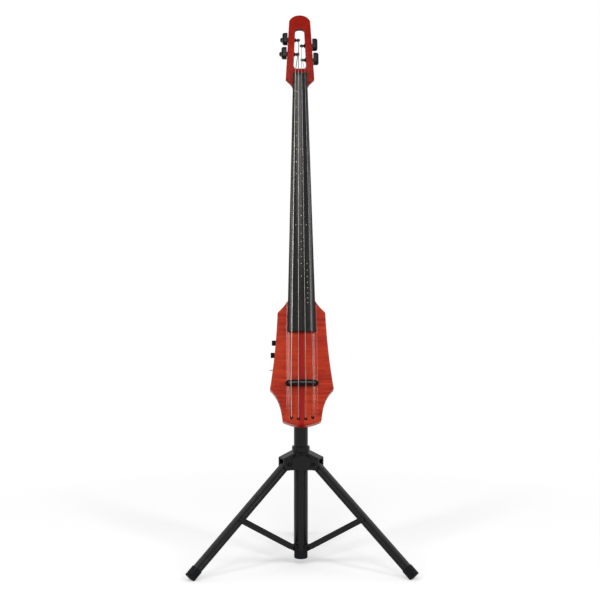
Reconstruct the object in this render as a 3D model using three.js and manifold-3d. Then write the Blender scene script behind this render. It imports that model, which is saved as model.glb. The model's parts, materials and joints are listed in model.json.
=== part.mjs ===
// A four-string electric cello with a small solid body, carried by a folding tripod stand.
// Units are millimetres, +Z is up, the front faces -Y and the player sits at +Y.
// The origin is on the floor, on the axis of the stand's tube.
import * as THREE from "three";
import { mergeVertices } from "three/addons/utils/BufferGeometryUtils.js";
import Module from "manifold-3d";

const wasm = await Module();
wasm.setup();

// Sizes. Each is set once, and everything else follows from these.
const gap = 0.3; // clearance between pieces that touch
const overrun = 2; // how far a cut runs past the face that it opens
const seam = 1e-4; // points closer than this are one
const lean = THREE.MathUtils.degToRad(17); // the instrument leans back from upright

const body = {
  thickness: 38,
  bevel: 3,
  bottomHalf: 40.9,
  bottomRise: 10.3,
  tipHalf: 67.7,
  tipHeight: 78,
  shoulderHalf: 51.2,
  shoulderHeight: 243.5,
  neckHalf: 30.5,
  height: 268.5,
  archHalf: 34,
  archRise: 7,
  archStart: 3,
  heelThickness: 21,
  heelStart: 214,
  bridgeHeight: 88.5,
};
const board = {
  length: 580,
  bridgeDistance: 110, // from its lower end to the bridge
  nutHalf: 15.8,
  endHalf: 30.8,
  thickness: 10,
  radius: 70,
  underside: 8, // distance of its flat underside in front of the body's flat front
};
const neck = {
  recess: 0.8, // how far the neck's edge stays inside the board's edge
  heelBack: 20.5,
  middleBack: 15,
  topBack: 9.5,
  tenonHalf: 25,
  tenonDepth: 20,
  tenonLength: 62,
  backRoundness: 0.8, // power of the back's curve: 1 is a parabola, less is fuller
  ringShares: [0.12, 0.5], // places of the rings between the heel and the flare
  backShares: [0.7, 0.8], // how far the back has come down at the first ring and at the flare
};
const head = {
  length: 147.8, // from the nut's front edge to the top
  thickness: 16,
  bevel: 1.2,
  flareStart: 29,
  flareHalf: 31.8,
  topHalf: 23.6,
  crownDrop: 14,
  slotBottom: 22, // above the nut's front edge
  slotTop: 117,
  slotBottomHalf: 14,
  slotTopHalf: 10.3,
  slotCorner: 5,
  slotCrown: 6.5,
  rampDepth: 8,
  rampHalf: 12,
};
const nut = { length: 7, height: 11.2, overhang: 0.4 };
const strings = {
  names: ["c", "g", "d", "a"],
  radii: [0.8, 0.7, 0.6, 0.5],
  nutSpacing: 7.1,
  bridgeSpacing: 15.53,
  holeSpread: 44.6,
  innerHoleSpread: 15.2,
  holeHeight: 16.2,
  innerHoleHeight: 13.4,
  holeRadius: 3,
  nutClearance: 0.9,
  turns: 2,
  turnGap: 0.5,
  ballRadius: 2.2,
  ballLength: 4,
  bendRadius: 2.2,
};
const bridge = {
  half: 35.2,
  waistHalf: 26,
  length: 12,
  tipLength: 2.4,
  crest: 22.4, // distance of its top in front of the body's flat front
  crownRadius: 90,
  screwInset: 5.6,
  screwHeadRadius: 2.3,
  screwShaft: 1.4,
  screwDepth: 7, // into the body
};
const saddle = {
  half: 28.5,
  length: 2.6,
  depth: 5,
  crest: 25.2,
  crownRadius: 66,
};
const anchor = {
  half: 27,
  height: 14,
  thickness: 3,
  recessDepth: 8,
  centre: 15.2,
  bore: 1.3,
};
const tuner = {
  heights: [56.5, 90.5, 77, 43], // of the c, g, d and a posts above the nut's front edge
  sides: [-1, -1, 1, 1],
  reach: 11.6, // into the slot
  coneRadius: 5.8,
  coneLength: 3.2,
  waistRadius: 2.4,
  tipRadius: 3.3,
  tipLength: 2,
  shaftRadius: 4,
  boreClearance: 0.3,
  caseOut: 11.7,
  caseHeight: 28,
  caseDepth: 15.2,
  caseWall: 1.5,
  caseShift: 2.8, // the case's middle above its post
  caseCorner: 6,
  gearRadius: 5.7,
  gearWidth: 5,
  gearInset: 3.1,
  gearTeeth: 12,
  toothDepth: 0.7,
  wormRadius: 2.5,
  wormClearance: 0.3,
  keyShaftRadius: 2,
  keyCollarRadius: 3,
  keyCollarLength: 2.2,
  keyWidth: 22,
  keyLength: 17,
  keyThickness: 7,
  keyBevel: 1.6,
};
// A key's half outline: shares of its half width and of its length at each point of its curves.
const wingShares = {
  root: [0.6, 0.02],
  lower: [1.05, 0.22],
  widest: [1, 0.55],
  upper: [0.95, 0.95],
  crown: [0.45, 1.06],
  dip: [0, 0.9],
};
const controls = {
  knobHeights: [180.1, 153.4],
  switchHeight: 120.9,
  depth: 19, // behind the body's flat front
  knobRadius: 5.7,
  knobLength: 8.6,
  knobStandoff: 0.9,
  knobRibs: 16,
  ribDepth: 0.35,
  shaftRadius: 3,
  shaftClearance: 0.3,
  bushingRadius: 4.7,
  potRadius: 8,
  potLength: 9,
  potStandoff: 1,
  bushingRoot: 1, // how far a bushing runs into its case
  shaftPlay: 2, // behind the end of a knob's shaft
  spotRadius: 7.6,
  spotDepth: 1,
  leverReach: 7.2,
  leverPivotDepth: 4,
  leverRootRadius: 1,
  leverTipRadius: 1.6,
  switchBushing: 3.6,
  switchBore: 2.7,
  switchWidth: 12.7,
  switchDepth: 7,
  switchLength: 10,
  wall: 9, // of wood between the cavity and the body's side
  ballShares: [0.8, 0.6], // radius and height of the ring between the lever ball's middle and end
  leverTipShare: 0.7, // radius of the lever's end
};
const cavity = {
  bottom: 104.5,
  top: 198.5,
  inner: 27,
  floor: 10, // behind the body's flat front
  ledge: 3.5,
  coverThickness: 2.5,
  boardThickness: 1.6,
  boardDepth: 20,
  boardHeight: 74,
  boardInset: 3,
};
const jack = {
  x: 28,
  height: 56.5,
  radius: 5.7,
  flangeRadius: 10,
  flange: 2,
  bore: 3.3,
  floor: 1.2, // of the bore, above the barrel's end
  length: 27,
};
const bracket = {
  half: 19,
  height: 60,
  plate: 5,
  earThickness: 6,
  earRadius: 11,
  earRoot: 17,
  pivotHeight: 184.5, // above the instrument's lower end
  standoff: 40, // of the pivot behind the body's back
};
const tiltHead = {
  lugHalf: 9,
  lugRadius: 10.5,
  flangeRadius: 14,
  flange: 6,
  drop: 20, // from the pivot to the inner tube's end
  plugLength: 22,
};
const bolt = { radius: 4, headRadius: 7.5, head: 5, clearance: 0.3 };
const knob = { lobes: 5, stepsOnLobe: 6, lobeDepthShare: 0.12, bevel: 1.2, hubShare: 0.45 };
const tiltKnob = { radius: 17, length: 13, collar: 2 };
const stand = {
  pivotHeight: 482, // of the tilt pivot above the floor
  tubeRadius: 15.5,
  tubeWall: 1.5,
  tubeBottom: 32.7,
  exposed: 74, // from the outer tube's end to the tilt pivot
  innerRadius: 12.5,
  innerWall: 1.8,
  innerOverlap: 158,
};
const tubeTop = stand.pivotHeight - stand.exposed;
const clamp = {
  overlap: 13, // of the outer tube's end
  height: 28,
  radius: 21,
  throat: 4, // height of the slope at its top
  edge: 1, // bevel at its lower end
  bossRadius: 8,
  bossReach: 29,
  screwRadius: 3,
  knobRadius: 13,
  knobLength: 10,
};
const clampBottom = tubeTop - clamp.overlap;
const hub = {
  bottom: 213,
  coreRadius: 24,
  ringRadius: 19.7,
  ringHeight: 10.6,
  ringTop: 262.4,
  ringEdge: 1, // bevel at its upper end
  coneDrop: 1.2, // of the core's shoulder under the brackets' tops
  bore: 15.8,
  bracketReach: 50,
  bracketWidth: 23.7,
  bracketGap: 17.4,
  bracketTop: 240.7,
  bracketPlate: 3.2,
  chinReach: 44,
  chinHeight: 9,
  channelStart: 25,
  gableHalf: 21.7,
  gableReach: 26,
  gableRise: 27.8,
  gablePeak: 35.6,
  knobDirection: THREE.MathUtils.degToRad(30),
  knobHeight: 229,
  screwRadius: 3,
  bossRadius: 6.5,
  bossReach: 29,
  knobRadius: 11,
  knobLength: 9,
};
const legs = {
  names: ["left", "right", "rear"],
  directions: [-150, -30, 90].map(THREE.MathUtils.degToRad),
  pivotRadius: 36,
  pivotHeight: 226,
  spread: THREE.MathUtils.degToRad(47.3), // from upright
  depth: 19,
  width: 16,
  topRadius: 10,
  corner: 4,
  wall: 2,
  grooveWidth: 3.4,
  grooveDepth: 0.8,
  grooveRise: 2.2,
  pinRadius: 3,
  pinClearance: 0.3,
  pinHeadRadius: 4.3,
  pinHead: 2,
};
const foot = {
  depth: 21.7,
  width: 18.5,
  corner: 5,
  length: 25,
  socket: 18,
  soleCut: 2,
  legEnd: 0.6,
};
const strut = {
  hubRadius: 21,
  hubHeight: 38.5,
  legDistance: 160.5, // from the leg's pivot to the strut's
  height: 12.4,
  wall: 1.6,
  sideGap: 0.5,
  webStart: 10,
  webCutBack: 26,
  pinRadius: 2.5,
  pinClearance: 0.3,
  pinHeadRadius: 4.2,
  pinHead: 1.8,
  rivetRadius: 4.6,
  rivetHeight: 2.2,
  rivetTopShare: 0.6, // of its radius
};
const lowerHub = {
  bottom: 19.5,
  capRadius: 14.5,
  capBevel: 2.5,
  plugTop: 60,
  slotTop: 46,
};
const legCount = legs.names.length;

// Directions of the axes, and the round shapes' facets.
const X = new THREE.Vector3(1, 0, 0);
const Y = new THREE.Vector3(0, 1, 0);
const Z = new THREE.Vector3(0, 0, 1);
const fine = 32;
const medium = 20;
const coarse = 16;
const small = 12;

// Finishes, one material for each kind of surface in the photograph.
const finish = (color, roughness, metalness = 0) =>
  new THREE.MeshStandardMaterial({ color, roughness, metalness });
const finishes = {
  flamedMaple: finish(0xb0301c, 0.25),
  headMaple: finish(0xa3261a, 0.28),
  ebony: finish(0x1b191a, 0.4),
  blackPlastic: finish(0x141416, 0.45),
  blackMetal: finish(0x26262a, 0.42, 0.6),
  blackPaint: finish(0x2a2a2e, 0.5, 0.2),
  steel: finish(0xb4b6b8, 0.3, 1),
  rubber: finish(0x17191a, 0.85),
  circuitBoard: finish(0x1d4a2c, 0.5),
  saddleGrey: finish(0x6e6c68, 0.4),
};

// Solids for the joins and cuts.
function solid(geometry) {
  const bare = geometry.index ? geometry.toNonIndexed() : geometry.clone();
  bare.deleteAttribute("normal");
  bare.deleteAttribute("uv");
  const merged = mergeVertices(bare, seam);
  return new wasm.Manifold(
    new wasm.Mesh({
      numProp: 3,
      vertProperties: merged.attributes.position.array,
      triVerts: new Uint32Array(merged.index.array),
    }),
  );
}

function geometryOf(made) {
  const mesh = made.getMesh();
  const geometry = new THREE.BufferGeometry();
  geometry.setAttribute("position", new THREE.BufferAttribute(new Float32Array(mesh.vertProperties), 3));
  geometry.setIndex(new THREE.BufferAttribute(new Uint32Array(mesh.triVerts), 1));
  const flat = geometry.toNonIndexed();
  flat.computeVertexNormals();
  return flat;
}

const join = (first, ...others) => others.reduce((made, other) => made.add(other), first);
const cut = (first, ...others) => others.reduce((made, other) => made.subtract(other), first);

// Basic shapes, all given as solids in the frame of the piece that they make.
function block(x, y, z) {
  const geometry = new THREE.BoxGeometry(x[1] - x[0], y[1] - y[0], z[1] - z[0]);
  return solid(geometry.translate((x[0] + x[1]) / 2, (y[0] + y[1]) / 2, (z[0] + z[1]) / 2));
}

// A round bar along an axis, between two places on it, about the point where its own axis starts.
function bar(radius, axis, span, at = [0, 0, 0], sides = medium, endRadius = radius) {
  const geometry = new THREE.CylinderGeometry(endRadius, radius, span[1] - span[0], sides);
  geometry.translate(0, (span[0] + span[1]) / 2, 0);
  geometry.applyQuaternion(new THREE.Quaternion().setFromUnitVectors(Y, axis));
  return solid(geometry.translate(...at));
}

// A turned shape about Z: pairs of radius and height, closed on itself or on the axis.
function turned(pairs, sides = fine) {
  const profile = pairs.map(([r, z]) => new THREE.Vector2(r, z));
  return solid(new THREE.LatheGeometry(profile, sides).rotateX(Math.PI / 2));
}

const sleeve = (outer, inner, bottom, top, sides = fine) =>
  turned([[inner, bottom], [outer, bottom], [outer, top], [inner, top], [inner, bottom]], sides);

// An outline drawn in X and Z, carried back along Y from the first place to the second.
function slab(shape, y, { bevel = 0, steps = 2, curves = 10 } = {}) {
  const geometry = new THREE.ExtrudeGeometry(shape, {
    depth: y[1] - y[0] - 2 * bevel,
    bevelEnabled: bevel > 0,
    bevelThickness: bevel,
    bevelSize: bevel,
    bevelOffset: -bevel,
    bevelSegments: steps,
    curveSegments: curves,
  });
  return solid(geometry.rotateX(Math.PI / 2).translate(0, y[1] - bevel, 0));
}

function outline(points, holes = []) {
  const shape = new THREE.Shape(points.map(([a, b]) => new THREE.Vector2(a, b)));
  shape.holes = holes.map((hole) => new THREE.Path(hole.map(([a, b]) => new THREE.Vector2(a, b))));
  return shape;
}

function roundedBox(width, height, corner) {
  const w = width / 2;
  const h = height / 2;
  const shape = new THREE.Shape();
  shape.moveTo(-w + corner, -h);
  shape.lineTo(w - corner, -h);
  shape.absarc(w - corner, -h + corner, corner, -Math.PI / 2, 0);
  shape.absarc(w - corner, h - corner, corner, 0, Math.PI / 2);
  shape.absarc(-w + corner, h - corner, corner, Math.PI / 2, Math.PI);
  shape.absarc(-w + corner, -h + corner, corner, Math.PI, Math.PI * 1.5);
  return shape;
}

// A bar with round ends, drawn along the first axis from zero to its length.
function stadium(length, radius) {
  const shape = new THREE.Shape();
  shape.absarc(length, 0, radius, -Math.PI / 2, Math.PI / 2);
  shape.absarc(0, 0, radius, Math.PI / 2, Math.PI * 1.5);
  return shape;
}

// A closed skin over rings of points that all have the same count, first ring to last.
function loft(rings) {
  const count = rings[0].length;
  const positions = rings.flat().flatMap((p) => [p.x, p.y, p.z]);
  const index = [];
  for (let ring = 0; ring + 1 < rings.length; ring++) {
    for (let i = 0; i < count; i++) {
      const a = ring * count + i;
      const b = ring * count + ((i + 1) % count);
      index.push(a, b, b + count, a, b + count, a + count);
    }
  }
  const last = (rings.length - 1) * count;
  for (let i = 1; i + 1 < count; i++) {
    index.push(0, i + 1, i);
    index.push(last, last + i, last + i + 1);
  }
  const geometry = new THREE.BufferGeometry();
  geometry.setAttribute("position", new THREE.Float32BufferAttribute(positions, 3));
  geometry.setIndex(index);
  return solid(geometry);
}

// A wire along a line of points, with its rings turned as little as possible.
function wire(points, radius, sides = 8) {
  const rings = [];
  let side = new THREE.Vector3();
  points.forEach((point, i) => {
    const before = points[Math.max(i - 1, 0)];
    const after = points[Math.min(i + 1, points.length - 1)];
    const ahead = after.clone().sub(point).normalize();
    const behind = point.clone().sub(before).normalize();
    const along = ahead.add(behind).normalize();
    if (i === 0) side.crossVectors(along, X).normalize();
    side = side.sub(along.clone().multiplyScalar(side.dot(along))).normalize();
    const up = new THREE.Vector3().crossVectors(along, side);
    rings.push(
      Array.from({ length: sides }, (_, k) => {
        const turn = (2 * Math.PI * k) / sides;
        return point
          .clone()
          .addScaledVector(side, radius * Math.cos(turn))
          .addScaledVector(up, radius * Math.sin(turn));
      }),
    );
  });
  return loft(rings);
}

// A clamping knob about Y: a lobed grip that starts at the first place, with its collar before it.
function grip(radius, start, length) {
  const count = knob.lobes * knob.stepsOnLobe;
  const shape = new THREE.Shape(
    Array.from({ length: count }, (_, i) => {
      const turn = (2 * Math.PI * i) / count;
      const reach = radius * (1 - knob.lobeDepthShare * (1 - Math.cos(knob.lobes * turn)) / 2);
      return new THREE.Vector2(reach * Math.cos(turn), reach * Math.sin(turn));
    }),
  );
  return slab(shape, [start, start + length], { bevel: knob.bevel, steps: 1 });
}

// Turns a solid about Z to a direction, from +X.
function toward(made, direction) {
  return made.rotate([0, 0, THREE.MathUtils.radToDeg(direction)]);
}

const group = new THREE.Group();

// The stand's own frame: Z up the axis of its tubes, from the floor.
const onStand = new THREE.Group();
group.add(onStand);

const instrument = new THREE.Group();
instrument.position.z = stand.pivotHeight;
instrument.rotation.x = -lean;
onStand.add(instrument);

// The instrument's own frame: Z along it from its lower end, and Y back from the body's flat front.
const pivotDepth = body.thickness + bracket.standoff;
const onInstrument = new THREE.Group();
onInstrument.position.set(0, -pivotDepth, -bracket.pivotHeight);
instrument.add(onInstrument);

function add(name, made, material, parent = onStand) {
  const mesh = new THREE.Mesh(geometryOf(made), material);
  mesh.name = name;
  parent.add(mesh);
}

const scaleLength = board.length + board.bridgeDistance; // nut to bridge
const nutHeight = body.bridgeHeight + scaleLength;
const boardFront = -(board.underside + board.thickness);
const boardEnd = nutHeight - board.length;
const archRadius = (body.archHalf ** 2 + body.archRise ** 2) / (2 * body.archRise);
const archDepth = (x) => -body.archRise + archRadius - Math.sqrt(archRadius ** 2 - x ** 2);

// The body's outline, and its half width at a height on its long side.
const sideShares = {
  bottomOut: 0.165,
  bottomRun: 0.33,
  topOut: 0.04,
  waistOut: [0.07, 0.25],
  waistUp: [0.31, 0.74],
};
const sideRun = body.shoulderHeight - body.tipHeight;
const sideCurve = new THREE.CubicBezierCurve(
  new THREE.Vector2(body.tipHalf, body.tipHeight),
  new THREE.Vector2(
    body.tipHalf - sideShares.bottomOut * sideShares.bottomRun * sideRun,
    body.tipHeight + sideShares.bottomRun * sideRun,
  ),
  new THREE.Vector2(
    body.shoulderHalf + sideShares.topOut * sideShares.bottomRun * sideRun,
    body.shoulderHeight - sideShares.bottomRun * sideRun,
  ),
  new THREE.Vector2(body.shoulderHalf, body.shoulderHeight),
);

function bodyHalf(height) {
  let low = 0;
  let high = 1;
  for (let i = 0; i < 30; i++) {
    const middle = (low + high) / 2;
    if (sideCurve.getPoint(middle).y < height) low = middle;
    else high = middle;
  }
  return sideCurve.getPoint(low).x;
}

function bodyShape() {
  const waistX = body.tipHalf - body.bottomHalf;
  const waistZ = body.tipHeight - body.bottomRise;
  const shoulderShares = { x: 0.76, z: 0.58 };
  const waist = (i) => [
    body.bottomHalf + sideShares.waistOut[i] * waistX,
    body.bottomRise + sideShares.waistUp[i] * waistZ,
  ];
  const shoulder = [
    body.shoulderHalf - shoulderShares.x * (body.shoulderHalf - body.neckHalf),
    body.shoulderHeight + shoulderShares.z * (body.height - body.shoulderHeight),
  ];
  const p = (curve, i) => [curve[i].x, curve[i].y];
  const side = [sideCurve.v0, sideCurve.v1, sideCurve.v2, sideCurve.v3];
  const shape = new THREE.Shape();
  shape.moveTo(-body.bottomHalf, body.bottomRise);
  shape.quadraticCurveTo(0, -body.bottomRise, body.bottomHalf, body.bottomRise);
  shape.bezierCurveTo(...waist(0), ...waist(1), body.tipHalf, body.tipHeight);
  shape.bezierCurveTo(...p(side, 1), ...p(side, 2), ...p(side, 3));
  shape.quadraticCurveTo(...shoulder, body.neckHalf, body.height);
  shape.lineTo(-body.neckHalf, body.height);
  shape.quadraticCurveTo(-shoulder[0], shoulder[1], -body.shoulderHalf, body.shoulderHeight);
  shape.bezierCurveTo(-side[2].x, side[2].y, -side[1].x, side[1].y, -body.tipHalf, body.tipHeight);
  shape.bezierCurveTo(
    -waist(1)[0],
    waist(1)[1],
    -waist(0)[0],
    waist(0)[1],
    -body.bottomHalf,
    body.bottomRise,
  );
  return shape;
}

// Places of the strings at the nut, the bridge and the holes, outermost low string first.
const stringIndex = strings.names.map((_, i) => i - (strings.names.length - 1) / 2);
const atNut = stringIndex.map((i) => i * strings.nutSpacing);
const atBridge = stringIndex.map((i) => i * strings.bridgeSpacing);
const outer = (i) => i === 0 || i === strings.names.length - 1;
const holeSpread = (i) => (outer(i) ? strings.holeSpread : strings.innerHoleSpread);
const holeX = stringIndex.map((k, i) => (Math.sign(k) * holeSpread(i)) / 2);
const holeZ = stringIndex.map((_, i) => (outer(i) ? strings.holeHeight : strings.innerHoleHeight));
const boardDepth = (x) => boardFront + board.radius - Math.sqrt(board.radius ** 2 - x ** 2);
const saddleDepth = (x) => -saddle.crest + saddle.crownRadius - Math.sqrt(saddle.crownRadius ** 2 - x ** 2);
const nutCrest = (x) => boardDepth(x) - strings.nutClearance + gap;

// Depth of the posts' axis, and the slot's half width at a height above the nut's front edge.
const headFront = -board.underside + gap;
const headBack = headFront + head.thickness;
const postDepth = (headFront + headBack) / 2;
const slotHalf = (z) =>
  THREE.MathUtils.mapLinear(
    z,
    head.slotBottom + head.slotCorner,
    head.slotTop - head.slotCrown,
    head.slotBottomHalf,
    head.slotTopHalf,
  );
const coneBase = (height) => slotHalf(height + tuner.coneRadius) - gap;
const waistStart = (height) => coneBase(height) - tuner.coneLength;
const waistEnd = (height) => slotHalf(height) - tuner.reach + tuner.tipLength;
const headHalf = (z) =>
  THREE.MathUtils.mapLinear(z, 0, head.length, head.flareHalf, head.topHalf - head.bevel);

// Woodwork.
function cavityShape(grow) {
  const wallAt = (z) => -(bodyHalf(z) - controls.wall);
  return outline([
    [wallAt(cavity.bottom) - grow, cavity.bottom - grow],
    [-cavity.inner + grow, cavity.bottom - grow],
    [-cavity.inner + grow, cavity.top + grow],
    [wallAt(cavity.top) - grow, cavity.top + grow],
  ]);
}

function woodenBody() {
  const shape = bodyShape();
  const plank = slab(shape, [0, body.thickness], { bevel: body.bevel, steps: 1, curves: 8 });
  const archSteps = 14;
  const arc = Array.from({ length: archSteps + 1 }, (_, i) => {
    const x = THREE.MathUtils.mapLinear(i, 0, archSteps, -body.archHalf, body.archHalf);
    return new THREE.Vector3(x, archDepth(x), 0);
  });
  const back = body.thickness / 2;
  const section = [
    ...arc,
    new THREE.Vector3(body.archHalf, back, 0),
    new THREE.Vector3(-body.archHalf, back, 0),
  ];
  const ring = (z) => section.map((p) => p.clone().setZ(z));
  const inset = slab(shape, [-body.archRise - overrun, body.thickness - body.bevel], { curves: 8 });
  const arch = loft([ring(body.archStart), ring(body.height)]).intersect(inset);
  const tenonTop = body.height + overrun;
  const pocket = block(
    [-neck.tenonHalf - gap, neck.tenonHalf + gap],
    [-body.archRise - overrun, neck.tenonDepth + gap],
    [body.height - neck.tenonLength - gap, tenonTop],
  );
  const wedge = slab(
    outline([
      [-body.tipHalf, body.heelStart],
      [body.tipHalf, body.heelStart],
      [body.tipHalf, body.height + body.thickness],
      [-body.tipHalf, body.height + body.thickness],
    ]),
    [0, body.thickness],
  )
    .translate([0, 0, -body.heelStart])
    .rotate([
      THREE.MathUtils.radToDeg(
        Math.atan2(body.thickness - body.heelThickness, body.height - body.heelStart),
      ),
      0,
      0,
    ])
    .translate([0, body.thickness, body.heelStart]);
  const holes = holeX.map((x, i) =>
    bar(strings.holeRadius, Y, [-body.archRise - overrun, body.thickness], [x, 0, holeZ[i]], small),
  );
  const screwHoles = [-1, 1].map((side) =>
    bar(
      bridge.screwShaft + gap,
      Y,
      [-body.archRise, bridge.screwDepth + gap],
      [side * screwX, 0, body.bridgeHeight],
      small,
    ),
  );
  const recess = block(
    [-anchor.half - gap, anchor.half + gap],
    [body.thickness - anchor.recessDepth, body.thickness + overrun],
    [anchor.centre - anchor.height / 2 - gap, anchor.centre + anchor.height / 2 + gap],
  );
  const chamber = slab(cavityShape(0), [cavity.floor, body.thickness + overrun]);
  const ledge = slab(cavityShape(cavity.ledge), [
    body.thickness - cavity.coverThickness - gap,
    body.thickness + overrun,
  ]);
  const sideHole = (z, radius) => {
    const half = bodyHalf(z);
    return join(
      bar(radius, X, [-half - overrun, -half + controls.wall + overrun], [0, controls.depth, z], medium),
      bar(
        controls.spotRadius,
        X,
        [-half - controls.spotRadius, -half + controls.spotDepth],
        [0, controls.depth, z],
        medium,
      ),
    );
  };
  const jackHole = bar(
    jack.radius + gap,
    Y,
    [body.thickness - jack.length - gap, body.thickness + overrun],
    [jack.x, 0, jack.height],
    medium,
  );
  return cut(
    join(plank, arch),
    pocket,
    wedge,
    ...holes,
    ...screwHoles,
    recess,
    chamber,
    ledge,
    ...controls.knobHeights.map((z) => sideHole(z, controls.bushingRadius + gap)),
    sideHole(controls.switchHeight, controls.switchBushing + gap),
    jackHole,
  );
}

const underside = (half, z) => [half, -half].map((x) => new THREE.Vector3(x, -board.underside, z));

function boardHalf(z) {
  return THREE.MathUtils.mapLinear(z, boardEnd, nutHeight, board.endHalf, board.nutHalf);
}

function fingerboard() {
  const steps = 12;
  const ring = (z) => {
    const half = boardHalf(z);
    const top = Array.from({ length: steps + 1 }, (_, i) => {
      const x = THREE.MathUtils.mapLinear(i, 0, steps, -half, half);
      return new THREE.Vector3(x, boardDepth(x), z);
    });
    return [...top, ...underside(half, z)];
  };
  return loft([ring(boardEnd), ring(nutHeight - gap)]);
}

// The neck's rounded back, its tenon, and the slotted head with its flare.
function neckAndHead() {
  const steps = 12;
  const ring = (z, back, front = headFront) => {
    const half = boardHalf(z) - neck.recess - (front - headFront);
    return Array.from({ length: steps + 1 }, (_, i) => {
      const turn = (Math.PI * i) / steps;
      const bulge = Math.sin(turn) ** neck.backRoundness;
      return new THREE.Vector3(half * Math.cos(turn), front + (back - front) * bulge, z);
    });
  };
  const first = body.height + gap;
  const flare = nutHeight - head.flareStart;
  const ringPlace = (i) => THREE.MathUtils.lerp(first, flare, neck.ringShares[i]);
  const shaft = loft([
    ring(first, neck.heelBack),
    ring(ringPlace(0), THREE.MathUtils.lerp(neck.heelBack, neck.middleBack, neck.backShares[0])),
    ring(ringPlace(1), neck.middleBack),
    ring(flare, THREE.MathUtils.lerp(neck.middleBack, neck.topBack, neck.backShares[1])),
    ring(nutHeight, neck.topBack, headFront + 2 * head.bevel),
  ]);
  const tenon = block(
    [-neck.tenonHalf, neck.tenonHalf],
    [headFront, neck.tenonDepth],
    [body.height - neck.tenonLength, body.height + body.bevel],
  );
  const flareShares = { low: [0.03, 0.5], high: [0.56, 0.68] };
  const half = boardHalf(flare) - neck.recess;
  const wide = head.flareHalf;
  const rise = head.flareStart - 3 * head.bevel;
  const point = (shares) => [half + shares[0] * (wide - half), flare + shares[1] * rise];
  const top = nutHeight + head.length;
  const corner = top - head.crownDrop;
  const crownShares = { side: [0.965, 0.64], top: [0.55, 1] };
  const crown = (shares) => [shares[0] * head.topHalf, corner + shares[1] * head.crownDrop];
  const shape = new THREE.Shape();
  shape.moveTo(-half, flare);
  shape.lineTo(half, flare);
  shape.bezierCurveTo(...point(flareShares.low), ...point(flareShares.high), wide, flare + rise);
  shape.lineTo(head.topHalf, corner);
  shape.bezierCurveTo(...crown(crownShares.side), ...crown(crownShares.top), 0, top);
  shape.bezierCurveTo(
    -crown(crownShares.top)[0],
    top,
    -crown(crownShares.side)[0],
    crown(crownShares.side)[1],
    -head.topHalf,
    corner,
  );
  shape.lineTo(-wide, flare + rise);
  shape.bezierCurveTo(
    -point(flareShares.high)[0],
    point(flareShares.high)[1],
    -point(flareShares.low)[0],
    point(flareShares.low)[1],
    -half,
    flare,
  );
  const plate = slab(shape, [headFront, headBack], { bevel: head.bevel, steps: 1, curves: 8 });
  const slotShape = new THREE.Shape();
  const low = nutHeight + head.slotBottom;
  const high = nutHeight + head.slotTop;
  slotShape.moveTo(-head.slotBottomHalf + head.slotCorner, low);
  slotShape.lineTo(head.slotBottomHalf - head.slotCorner, low);
  slotShape.quadraticCurveTo(head.slotBottomHalf, low, head.slotBottomHalf, low + head.slotCorner);
  slotShape.lineTo(head.slotTopHalf, high - head.slotCrown);
  slotShape.quadraticCurveTo(head.slotTopHalf, high, 0, high);
  slotShape.quadraticCurveTo(-head.slotTopHalf, high, -head.slotTopHalf, high - head.slotCrown);
  slotShape.lineTo(-head.slotBottomHalf, low + head.slotCorner);
  slotShape.quadraticCurveTo(-head.slotBottomHalf, low, -head.slotBottomHalf + head.slotCorner, low);
  const slot = slab(slotShape, [headFront - overrun, headBack + overrun], { curves: 6 });
  const rampStart = nutHeight + nut.length + overrun;
  const ramp = loft(
    [head.rampHalf, -head.rampHalf].map((x) => [
      new THREE.Vector3(x, headFront - overrun, rampStart - overrun),
      new THREE.Vector3(x, headFront - overrun, low + head.slotCorner),
      new THREE.Vector3(x, headFront + head.rampDepth, low + head.slotCorner),
      new THREE.Vector3(x, headFront, rampStart),
    ]),
  );
  const bores = tuner.heights.map((height, i) => {
    const side = tuner.sides[i];
    const from = [slotHalf(height) - tuner.coneRadius, headHalf(height) + tuner.caseOut];
    return bar(
      tuner.shaftRadius + tuner.boreClearance,
      X,
      side > 0 ? from : [-from[1], -from[0]],
      [0, postDepth, nutHeight + height],
      medium,
    );
  });
  return cut(join(shaft, tenon, plate), slot, ramp, ...bores);
}

function nutBlock() {
  const steps = 8;
  const half = board.nutHalf + nut.overhang;
  const ring = (z) => {
    const top = Array.from({ length: steps + 1 }, (_, i) => {
      const x = THREE.MathUtils.mapLinear(i, 0, steps, -half, half);
      return new THREE.Vector3(x, nutCrest(x), z);
    });
    return [...top, ...underside(half, z)];
  };
  return loft([ring(nutHeight), ring(nutHeight + nut.length)]);
}

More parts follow.
